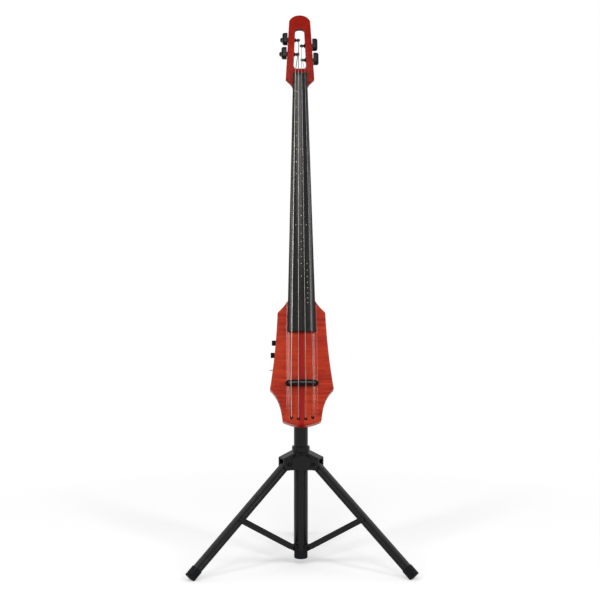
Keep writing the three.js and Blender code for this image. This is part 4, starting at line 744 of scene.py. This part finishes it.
def make_body():
    outline = body_outline()
    piece = slab("body_wood", outline, (0, body.thickness), body.roundover, steps=6, corner=body.corner)
    cut(piece, heel_wedge())
    joined(piece, arch_skin())
    front = -arch.rise - overrun
    back = body.thickness + overrun
    tools = [
        block(
            around(0, neck.tenon_half + gap), (front, neck.tenon_depth + gap),
            (body.height - neck.tenon_length - gap, body.height + overrun),
        ),
        block(
            around(0, anchor.half + gap), (body.thickness - anchor.recess, back),
            around(anchor.centre, anchor.height / 2 + gap),
        ),
        cavity_tool(0, (cavity.floor, back)),
        bar(jack.radius + gap, Y, (body.thickness - jack.length - gap, back), (jack.x, 0, jack.height)),
    ]
    for x, z in zip(strings.hole_x, strings.hole_z):
        tools.append(bar(strings.hole_radius, Y, (front, body.thickness), (x, 0, z)))
    shank = (-arch.rise, bridge.screw_depth + gap)
    for x in around(0, screw_x):
        tools.append(bar(bridge.screw_shank + gap, Y, shank, (x, 0, bridge.height)))
    spots = []
    side_holes = [(z, knob.bushing) for z in knob.heights]
    for z, radius in side_holes + [(switch.height, switch.bushing)]:
        at = (0, knob.depth, z)
        side = -body_half(z)
        tools.append(bar(radius + gap, X, (side - overrun, side + knob.wall + overrun), at))
        span = (side - knob.spot_radius, side + knob.spot_depth)
        spots.append(bar(knob.spot_radius, X, span, at))
    cut(piece, *tools)
    cut(piece, cavity_tool(cavity.ledge, (body.thickness - cavity.cover - gap, back)), *spots)
    stands_for(piece, "body", angle=28)


# Neck and head
def board_half(z):
    return lerp(board.end_half, board.nut_half, (z - board_end) / board.length)


def board_depth(x):
    return board_front + arc_rise(x, board.radius)


def neck_shaft():
    first = body.height + gap
    flare = nut_height - head.flare_start
    knots = [(lerp(first, flare, share), back) for share, back in zip(neck.ring_shares, neck.ring_backs)]
    knots.append((nut_height, neck.top_back))
    places = [place for pair in zip(knots, knots[1:]) for place in bezier(*pair, steps=6)]
    rings = []
    for z, back in places + knots[-1:]:
        rise = 2 * head.edge * max(0, (z - flare) / (nut_height - flare))
        half = board_half(z) - neck.recess - rise
        front = head_front + rise
        deep = back - front
        rings.append([(half * c, front + deep * s**neck.round_share, z) for c, s in arc(32, math.pi)])
    return loft("neck_wood", rings)


def head_outline():
    flare = nut_height - head.flare_start
    start = (board_half(flare) - neck.recess, flare)
    wide = (head.flare_half, nut_height - 3 * head.edge)
    top = (0, nut_height + head.length)
    side = (head.top_half, top[1] - head.crown_drop)
    points = [(0, flare)] + curve(start, wide, head.flare_shares, 12) + [wide]
    return mirrored_outline(points + curve(side, top, head.crown_shares, 14) + [top])


def slot_outline():
    low = nut_height + head.slot_bottom
    half = head.slot_bottom_half
    side = (half, low + head.slot_corner)
    top = (0, nut_height + head.slot_top)
    shoulder = (head.slot_top_half, top[1] - head.slot_crown)
    points = [(0, low)] + bezier((half - head.slot_corner, low), (half, low), side, steps=8) + [side]
    return mirrored_outline(points + bezier(shoulder, (shoulder[0], top[1]), top, steps=12) + [top])


def slot_half(z):
    low = head.slot_bottom + head.slot_corner
    high = head.slot_top - head.slot_crown
    return lerp(head.slot_bottom_half, head.slot_top_half, (z - low) / (high - low))


def head_half(z):
    return lerp(head.flare_half, head.top_half - head.edge, z / head.length)


def make_neck():
    piece = slab("neck_and_head_wood", head_outline(), (head_front, head_back), head.roundover)
    tenon = block(
        around(0, neck.tenon_half), (head_front, neck.tenon_depth),
        (body.height - neck.tenon_length, body.height + body.roundover),
    )
    joined(piece, neck_shaft(), tenon)
    low = nut_height + head.slot_bottom + head.slot_corner
    start = nut_height + nut.length + overrun
    front = head_front - overrun
    ramp_side = [(front, start - overrun), (front, low), (head_front + head.ramp_depth, low)]
    tools = [
        slab("tool", slot_outline(), (front, head_back + overrun)),
        slab("tool", ramp_side + [(head_front, start)], (head.ramp_half, -head.ramp_half), axes=(1, 0, 2)),
    ]
    for height, side in zip(tuner.heights, tuner.sides):
        low, high = (slot_half(height) - tuner.cone_radius, head_half(height) + case.out)
        span = (low, high) if side > 0 else (-high, -low)
        tools.append(bar(tuner.shaft_radius + gap, X, span, (0, post_depth, nut_height + height)))
    cut(piece, *tools)
    stands_for(piece, "neck_and_head", angle=28)


# Fingerboard and nut
def crowned_ring(half, crest, drop, edge, z, steps):
    """A ring across the board, its top along a crest with eased long edges and its underside flat."""
    ring = []
    for x in spread(-half, half, steps):
        ring.append((x, crest(x) + drop + arc_rise(max(0, abs(x) - (half - edge)), edge), z))
    return ring + [(half, -board.underside, z), (-half, -board.underside, z)]


def make_fingerboard():
    places = [(board_end + z, drop) for z, drop in board.end_round]
    places += [(z, 0) for z in spread(board_end, nut_height, 12)[1:-1]] + [(nut_height - gap, 0)]
    rings = []
    for z, drop in places:
        half = board_half(z) - drop * board.end_share
        rings.append(crowned_ring(half, board_depth, drop, board.edge, z, 40))
    stands_for(loft("fingerboard_wood", rings), "fingerboard")


def string_x(string, z):
    """Where a string passes over a place along the board, counted from 0 with half counts between two."""
    spacing = lerp(strings.bridge_spacing, strings.nut_spacing, (z - bridge.height) / scale_length)
    return (string - 1.5) * spacing


def cut_grooves(piece, z, span, wider, depth):
    """Cuts a groove for each string, with the depth of its middle from its place and radius."""
    tools = []
    for i, radius in enumerate(strings.radii):
        x = string_x(i, z)
        tools.append(bar(radius + wider, Z, span, (x, depth(x, radius + wider), 0), 24))
    cut(piece, *tools)


# The rows of dots, each between two strings, and the semitones that a row marks
dot_rows = {
    0.5: (1, 2, 3, 4, 5, 6, 7, 12),
    1.5: (5, 7, 10, 11, 12, 13, 14, 15, 16, 17, 19),
    2.5: (12, 17, 18, 19, 20, 21, 22, 23, 24),
}


def make_dots():
    vertices = []
    faces = []
    for string, mark in ((string, mark) for string, marks in dot_rows.items() for mark in marks):
        z = nut_height - scale_length * (1 - 2 ** (-mark / 12))
        x = string_x(string, z)
        rings = []
        for share, out in ((1, -dot.sunk), (1, dot.proud / 2), (dot.crown_share, dot.proud)):
            rim = [(x + share * dot.radius * c, z + share * dot.radius * s) for c, s in circle(dot.sides)]
            rings.append([(px, board_depth(px) - out, pz) for px, pz in rim])
        more_vertices, more_faces = skin(rings, len(vertices))
        vertices += more_vertices
        faces += more_faces
    added(make_object("position_dots", vertices, faces), "instrument", "saddle_grey", pearl)


def nut_crest(x):
    return board_depth(x) - nut.clearance + gap


def make_nut():
    half = board.nut_half + nut.overhang
    places = list(nut.near_round) + [(nut.length - back, drop) for back, drop in nut.far_round]
    rings = [crowned_ring(half, nut_crest, drop, nut.edge, nut_height + z, 32) for z, drop in places]
    piece = loft("nut_block", rings)
    span = (nut_height - overrun, nut_height + nut.length + overrun)
    cut_grooves(piece, nut_height, span, gap, lambda x, radius: nut_crest(x) - gap / 2)
    stands_for(piece, "nut")


# Bridge
def bridge_top(x):
    return arc_rise(x, bridge.crown_radius) - bridge.crest


def saddle_top(x):
    return arc_rise(x, saddle.crown_radius) - saddle.crest


def make_bridge():
    rings = []
    inner = bridge.half - bridge.end_round
    for x in [-bridge.half, *spread(-inner, inner, 60), bridge.half]:
        shrink = bridge.end_round if abs(x) == bridge.half else 0
        share = max(0, abs(x) - bridge.waist_half) / (bridge.half - bridge.waist_half)
        half = lerp(bridge.length / 2, bridge.tip_length / 2, share**bridge.taper_share) - shrink
        top = bridge_top(x) + shrink
        bed = min(arch_top(x), 0) - gap
        edge = min(bridge.edge, half * bridge.edge_share)
        rim = [(half - edge + edge * c, top + edge - edge * s) for c, s in arc(6)]
        section = [(half, bed), (-half, bed)] + [(-z, y) for z, y in rim] + rim[::-1]
        rings.append([(x, y, bridge.height + z) for z, y in section])
    piece = loft("bridge_block", rings)
    front = -bridge.crest - overrun
    seat = (front, -bridge.crest + saddle.depth + gap)
    tools = [block(around(0, saddle.half + gap), seat, around(bridge.height, saddle.length / 2 + gap))]
    for x in around(0, screw_x):
        tools.append(bar(bridge.screw_head + gap, Y, (front, 0), (x, 0, bridge.height), 32))
    cut(piece, *tools)
    stands_for(piece, "bridge", black_plastic_up)


def make_saddle():
    rings = []
    half = saddle.length / 2
    bottom = -bridge.crest + saddle.depth
    for x in spread(-saddle.half, saddle.half, 48):
        section = [(bottom, half), (bottom, -half)]
        section += [(saddle_top(x) + saddle.roundness * (1 - s), -half * c) for c, s in arc(8, math.pi)]
        rings.append([(x, y, bridge.height + z) for y, z in section])
    piece = loft("bridge_saddle_blade", rings)
    span = around(bridge.height, saddle.length)
    cut_grooves(piece, bridge.height, span, saddle.groove_gap, lambda x, radius: saddle_top(x) - radius)
    stands_for(piece, "bridge_saddle")


def screw_head(name, profile, x, z, sides, reach, depth):
    """A turned head with a crossed slot."""
    turned = lathe(name, profile, Y, (x, 0, z), sides)
    for across, along in ((reach, screw.slot_half), (screw.slot_half, reach)):
        cut(turned, block(around(x, across), depth, around(z, along)))
    return turned


def make_bridge_screw(name, x):
    seat = arch_depth(screw_x - bridge.screw_head) - gap
    crown = bridge_top(screw_x) + gap
    profile = [(radius, crown + drop) for radius, drop in bridge.screw_crown]
    profile += [(bridge.screw_head, seat), (bridge.screw_shank, seat)]
    profile += [(bridge.screw_shank, bridge.screw_depth), (0, bridge.screw_depth)]
    depth = (crown - overrun, crown + bridge.slot_depth)
    piece = screw_head(name + "_turned", profile, x, bridge.height, 32, bridge.slot_reach, depth)
    stands_for(piece, name)


# Strings
def cone_base(height):
    return slot_half(height + tuner.cone_radius) - gap


def waist(height):
    """Where the post's narrow part starts and ends, out from the head's middle."""
    return (slot_half(height) - tuner.reach + tuner.tip_length, cone_base(height) - tuner.cone_length)


def make_string(i, name):
    """From its ball in the anchor plate over the bridge and the nut to its turns on the post."""
    radius = strings.radii[i]
    clear = radius + gap
    reach = tuner.waist_radius + clear
    run = strings.turns * (2 * radius + strings.turn_gap)
    start = (sum(waist(tuner.heights[i])) - run) / 2
    at_bridge, at_nut = (string_x(i, z) for z in (bridge.height, nut_height))
    x, z = (strings.hole_x[i], strings.hole_z[i])
    ball_back = body.thickness - anchor.recess + anchor.thickness + 2 * gap
    over_bridge = saddle_top(at_bridge) - clear
    over_nut = nut_crest(at_nut) - clear
    bend = strings.bend
    points = [
        (x, ball_back + radius, z), (x, arch_top(x) + bend, z), (x, arch_top(x), z + bend / 4),
        (x, arch_top(x) - bend / 2, z + bend),
    ]
    points += [(at_bridge, over_bridge, up) for up in around(bridge.height, saddle.length / 2)]
    points += [(at_nut, over_nut, up) for up in (nut_height, nut_height + nut.length)]
    rise = tuner.heights[i] - nut.length
    depth = post_depth - over_nut
    meet = math.atan2(depth, rise) - math.pi / 2 - math.asin(reach / math.hypot(rise, depth))
    count = strings.turn_points * strings.turns
    turns = arc(count, 2 * math.pi * strings.turns, meet)
    for (c, s), along in zip(turns, spread(start, start + run, count)):
        height = nut_height + tuner.heights[i] + reach * c
        points.append((tuner.sides[i] * along, post_depth + reach * s, height))
    piece = wire(name + "_wound", points, radius)
    span = (ball_back, ball_back + strings.ball_length)
    joined(piece, bar(strings.ball_radius, Y, span, (x, 0, z), 32, edge=strings.ball_edge))
    stands_for(piece, name, windings[i], angle=50)


# Machine heads
def case_start(i):
    return head_half(tuner.heights[i] - case.height / 2) + gap


def worm_x(i):
    return case_start(i) + gear.inset + gear.width / 2


def on_head(i, rise=0):
    """A tuner's own frame, from its post."""
    return on_side(tuner.sides[i], post_depth, nut_height + tuner.heights[i] + rise)


def make_tuner_case(i, name):
    """A shell over the gear, open towards the head, with its outer rim rolled over."""
    start = case_start(i)
    place = on_head(i, case.shift)
    shells = []
    for called, low, wall in ((name + "_shell", start, 0), ("tool", start - overrun, case.wall)):
        width, height = (size - 2 * wall for size in (case.depth, case.height))
        outline = rounded_box(width, height, case.corner - wall)
        span = (low, start + case.out - wall)
        edge = case.edge - wall
        shells.append(slab(called, outline, span, edge, place, axes=(1, 0, 2), both=False))
    at = (worm_x(i), 0, worm_rise - case.shift)
    cut(*shells, bar(key.shaft + gap, Y, (0, case.depth), at, 32, place))
    stands_for(shells[0], name)


def toothed(radius, count, depth):
    """A round outline with square teeth, two points to a tooth and two to a gap."""
    made = []
    for k, (c, s) in enumerate(circle(count * 4)):
        reach = radius - (depth if k % 4 > 1 else 0)
        made.append((reach * c, reach * s))
    return made


def make_tuner_post(i, name):
    """The turned post that the string winds on, and its gear in the case."""
    gear_start = case_start(i) + gear.inset
    gear_end = gear_start + gear.width
    waist_start, waist_end = waist(tuner.heights[i])
    base = cone_base(tuner.heights[i])
    tip_end = waist_start - tuner.tip_length
    edge, lap = tuner.cone_edge
    profile = [
        (0, tip_end), (tuner.tip_radius - tuner.tip_edge, tip_end),
        (tuner.tip_radius, tip_end + tuner.tip_edge), (tuner.tip_radius, waist_start - tuner.tip_slope),
        (tuner.waist_radius, waist_start),
    ]
    for share in spread(0, 1, 4):
        radius = lerp(tuner.waist_radius, tuner.cone_radius, share**tuner.cone_share)
        profile.append((radius, lerp(waist_end, base - lap, share)))
    profile += [(tuner.cone_radius - edge, base), (tuner.shaft_radius, base)]
    profile += [(tuner.shaft_radius, gear_end), (0, gear_end)]
    piece = lathe(name + "_turned", profile, X, sides=40, place=on_head(i))
    outline = toothed(gear.radius, gear.teeth, gear.tooth_depth)
    joined(piece, slab("tool", outline, (gear_start, gear_end), place=on_head(i), axes=(1, 0, 2)))
    stands_for(piece, name)


def make_tuner_key(i, name):
    """A winged key on its worm. The left pair stand with their wings sideways, the right pair upright."""
    side = tuner.sides[i]
    case_back = case.depth / 2
    start = case_back + gap + key.collar_length
    root, crown = (
        [(x * key.width / 2, start + share * key.length) for x, share in shares]
        for shares in (key.root_shares, key.crown_shares)
    )
    half = [(0, start)] + bezier((key.collar, start), *root, steps=14)
    half += bezier(root[-1], *crown, steps=16) + [crown[-1]]
    thick = around(0, key.thickness / 2)
    centre = (side * worm_x(i), post_depth, nut_height + tuner.heights[i] + worm_rise)
    place = ON_INSTRUMENT @ Matrix.Translation(centre)
    axes = (1, 2, 0) if side > 0 else (0, 2, 1)
    piece = slab(name + "_wing", mirrored_outline(half), thick, key.edge, place, axes=axes)
    inner = case_back - case.wall - gap
    bars = (
        (tuner.worm_radius, Y, (-inner, inner), tuner.worm_edge),
        (key.shaft, Y, (-inner, start + key.length / 2), 0),
        (key.collar, Y, (case_back + gap, start + key.edge), tuner.worm_edge),
    )
    joined(piece, *(bar(*sizes, sides=32, place=place, edge=edge) for *sizes, edge in bars))
    stands_for(piece, name)


# Controls in the body's left side
def make_control_knob(name, z):
    """A round cap with fine ribs and a line on its face."""
    base = body_half(z) - knob.spot_depth + knob.standoff
    end = base + knob.length
    place = on_side(-1, knob.depth, z)
    rings = []
    for back, along in rim_levels((base, end), knob.edge, 4):
        outline = toothed(knob.radius - back, knob.ribs, knob.rib_depth)
        rings.append([(along, y, across) for y, across in outline])
    piece = loft(name + "_cap", rings, place)
    span = (base - knob.shaft_run, base + knob.shaft_lap)
    joined(piece, bar(knob.shaft_radius, X, span, sides=32, place=place))
    depth = (end - knob.line_depth, end + overrun)
    line = (knob.line_start, knob.radius + overrun)
    cut(piece, block(depth, around(0, knob.line_half), line, place))
    stands_for(piece, name, black_plastic_up)


def make_switch_lever():
    """A thin bat lever with a round tip, on its ball."""
    ball, tip = (switch.ball, switch.tip)
    end = switch.pivot + switch.reach
    profile = [(0, -ball)] + [(ball * c, ball * s) for c, s in arc(12, math.pi, -math.pi / 2)[1:10]]
    profile += [(switch.root, ball)] + [(tip * c, end - tip + tip * s) for c, s in arc(8)]
    at = (body_half(switch.height) - switch.pivot, 0, 0)
    piece = lathe("switch_bat", profile, X, at, 32, on_side(-1, knob.depth, switch.height))
    stands_for(piece, "switch_lever", angle=50)


def screw_heads(name, places, radius):
    """Countersunk screws in the instrument's back, with crossed slots."""
    heads = []
    for x, y, z in places:
        profile = [
            (0, y - screw.end), (radius * screw.shank_share, y - screw.shank), (radius, y),
            (radius * screw.dome_share, y + screw.dome), (0, y + screw.crown),
        ]
        slot = (radius * screw.slot_share, (y - screw.slot_depth, y + overrun))
        heads.append(screw_head("tool" if heads else name, profile, x, z, 28, *slot))
    joined(*heads)
    added(heads[0], "instrument", "steel")


def make_screws():
    """Screws of the cavity's cover and of the tilt bracket."""
    margin = screw.cover_margin
    places = []
    for z, rise in ((cavity.bottom, margin), (cavity.top, -margin)):
        for x in (knob.wall - body_half(z) + margin, -cavity.inner - margin):
            places.append((x, body.thickness, z + rise))
    screw_heads("cover_screws", places, screw.cover_radius)
    plate = body.thickness + gap + bracket.plate
    heights = around(bracket.pivot_height, bracket.height / 2 - screw.bracket_margin[1])
    places = [(x, plate, z) for x in around(0, bracket.half - screw.bracket_margin[0]) for z in heights]
    screw_heads("bracket_screws", places, screw.bracket_radius)


# Mouldings of the stand
def make_hub_relief():
    """The raised middle of the hub's front, and the ribs at the front ends of its two front brackets."""
    face = hub_face
    outline = mirrored_outline([(face.half, face.low), (face.half, face.shoulder), (0, face.peak)])
    depth = (-face.reach - face.proud, -face.reach + face.lap)
    pieces = [slab("hub_front", softened(outline, face.corner), depth, place=ON_STAND)]
    for name, angle, side in (("left", -150, 1), ("right", -30, -1)):
        place = ON_STAND @ Matrix.Rotation(math.radians(angle), 4, "Z")
        across = (side * (face.rib_side - face.lap), side * (face.rib_side + face.rib_proud))
        pieces.append(block(face.rib, across, face.rib_height, place, "hub_rib_" + name))
    for piece in pieces:
        eased(piece, face.edge)
        added(piece, body_of["sliding_hub"], "black_plastic")


def make_bumper():
    """A rubber sleeve over the cap at the tube's lower end."""
    low, high = (bumper.bottom, bumper.top)
    near, far = (low + rise for rise in bumper.rises)
    profile = [
        (0, low), (bumper.low_radius, low), (bumper.neck_radius, near), (bumper.radius, far),
        (bumper.radius, high - bumper.drop), (bumper.neck_radius, high), (0, high),
    ]
    added(lathe("tube_bumper", profile, sides=56, place=ON_STAND), body_of["lower_hub"], "rubber")


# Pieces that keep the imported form, with their edges rounded
def refined(name, width, slot=None):
    source = nodes[name].data
    vertices = [vertex.co for vertex in source.vertices]
    faces = [tuple(face.vertices) for face in source.polygons]
    piece = make_object(name + "_eased", vertices, faces, Matrix.Identity(4))
    eased(piece, width)
    stands_for(piece, name, slot=slot)


edge_widths = {
    "string_anchor_plate": 0.4, "cavity_cover": 0.4, "output_jack": 0.35, "tilt_bracket": 0.9,
    "tilt_head": 0.7, "tilt_bolt": 0.5, "tilt_knob": 0.9, "inner_tube": 0.3, "stand_tube": 0.3,
    "height_clamp": 0.7, "height_knob": 0.9, "sliding_hub": 0.7, "hub_knob": 0.8, "lower_hub": 0.7,
}
for side in ("left", "right", "rear"):
    widths = {"leg_": 0.45, "leg_foot_": 1.1, "leg_pin_": 0.4, "strut_": 0.3, "strut_pin_": 0.4}
    edge_widths.update({name + side: width for name, width in widths.items()})

make_body()
make_neck()
make_fingerboard()
make_dots()
make_nut()
make_bridge()
make_saddle()
make_bridge_screw("bridge_screw_left", -screw_x)
make_bridge_screw("bridge_screw_right", screw_x)
for i, name in enumerate(strings.names):
    make_string(i, "string_" + name)
    make_tuner_case(i, "tuner_case_" + name)
    make_tuner_post(i, "tuner_post_" + name)
    make_tuner_key(i, "tuner_key_" + name)
for name, height in zip(("volume_knob", "tone_knob"), knob.heights):
    make_control_knob(name, height)
make_switch_lever()
make_screws()
make_hub_relief()
make_bumper()
for name, width in edge_widths.items():
    refined(name, width, "black_metal" if "_pin_" in name else None)

# Stage, with its lengths in metres
stage = Sizes(floor_half=30, near=0.5, far=1.1, white=0.9, glow=0.27, world=0.55)


def cleared_tree(owner, output):
    """The owner's node tree with nothing in it but an output, and that output."""
    owner.use_nodes = True
    owner.node_tree.nodes.clear()
    return owner.node_tree, owner.node_tree.nodes.new("ShaderNode" + output)


def seen_rays(tree):
    """1 for rays of the camera, of reflections and of what is seen through, and 0 for the others."""
    share = node("LightPath", {}, tree, "Is Camera Ray")
    for ray in ("Is Glossy Ray", "Is Transmission Ray"):
        share = node("Math", {0: share, 1: node("LightPath", {}, tree, ray)}, operation="MAXIMUM")
    return share


def white_light(kind, strength, tree):
    return node(kind, {"Color": (1, 1, 1, 1), "Strength": strength}, tree)


def make_floor():
    """A lit white floor that fades to plain white away from the stand."""
    half = stage.floor_half
    square = [(-half, -half, 0), (half, -half, 0), (half, half, 0), (-half, half, 0)]
    floor = make_object("floor", square, [(0, 1, 2, 3)], Matrix.Identity(4))
    material = bpy.data.materials.new("floor")
    tree, output = cleared_tree(material, "OutputMaterial")
    away = node("VectorMath", {0: node("TexCoord", {}, tree, "Object")}, output="Value", operation="LENGTH")
    shade = node("BsdfDiffuse", {"Color": (stage.white,) * 3 + (1,)}, tree)
    near = node("AddShader", {0: shade, 1: white_light("Emission", stage.glow, tree)})
    far = white_light("Emission", 1, tree)
    backdrop = node("MixShader", {0: remap(away, stage.near, stage.far), 1: near, 2: far})
    fill(output, {"Surface": node("MixShader", {0: seen_rays(tree), 1: shade, 2: backdrop})})
    paint(floor, material)


def make_world():
    """Plain white to the camera and in reflections, and a softer white as light."""
    world = bpy.data.worlds.new("studio")
    bpy.context.scene.world = world
    tree, output = cleared_tree(world, "OutputWorld")
    light, white = (white_light("Background", strength, tree) for strength in (stage.world, 1))
    fill(output, {"Surface": node("MixShader", {0: seen_rays(tree), 1: light, 2: white})})


def make_panel(name, place, target, width, height, radiance, glossy=True):
    """A soft rectangle of light that faces a point, and doesn't show itself."""
    data = bpy.data.lights.new(name, "AREA")
    energy = math.pi * width * height * radiance
    given(data, shape="RECTANGLE", size=width, size_y=height, energy=energy)
    lamp = bpy.data.objects.new(name, data)
    given(lamp, location=place, visible_camera=False, visible_glossy=glossy)
    lamp.rotation_euler = (Vector(place) - Vector(target)).to_track_quat("Z", "Y").to_euler()
    bpy.context.scene.collection.objects.link(lamp)


middle = (0, 0, 0.7)
upper = (0, 0, 0.9)
make_floor()
make_world()
make_panel("top_panel", (-0.3, -3.4, 3.5), middle, width=1.3, height=0.9, radiance=8.5)
for side in (-1, 1):
    make_panel("strip_light", (side * 1.97, -2.52, 2.53), upper, width=0.3, height=1.74, radiance=15)
make_panel("front_fill", (0, -4.2, 1.5), middle, width=3, height=3, radiance=0.8, glossy=False)

bpy.context.scene.view_settings.view_transform = "Standard"
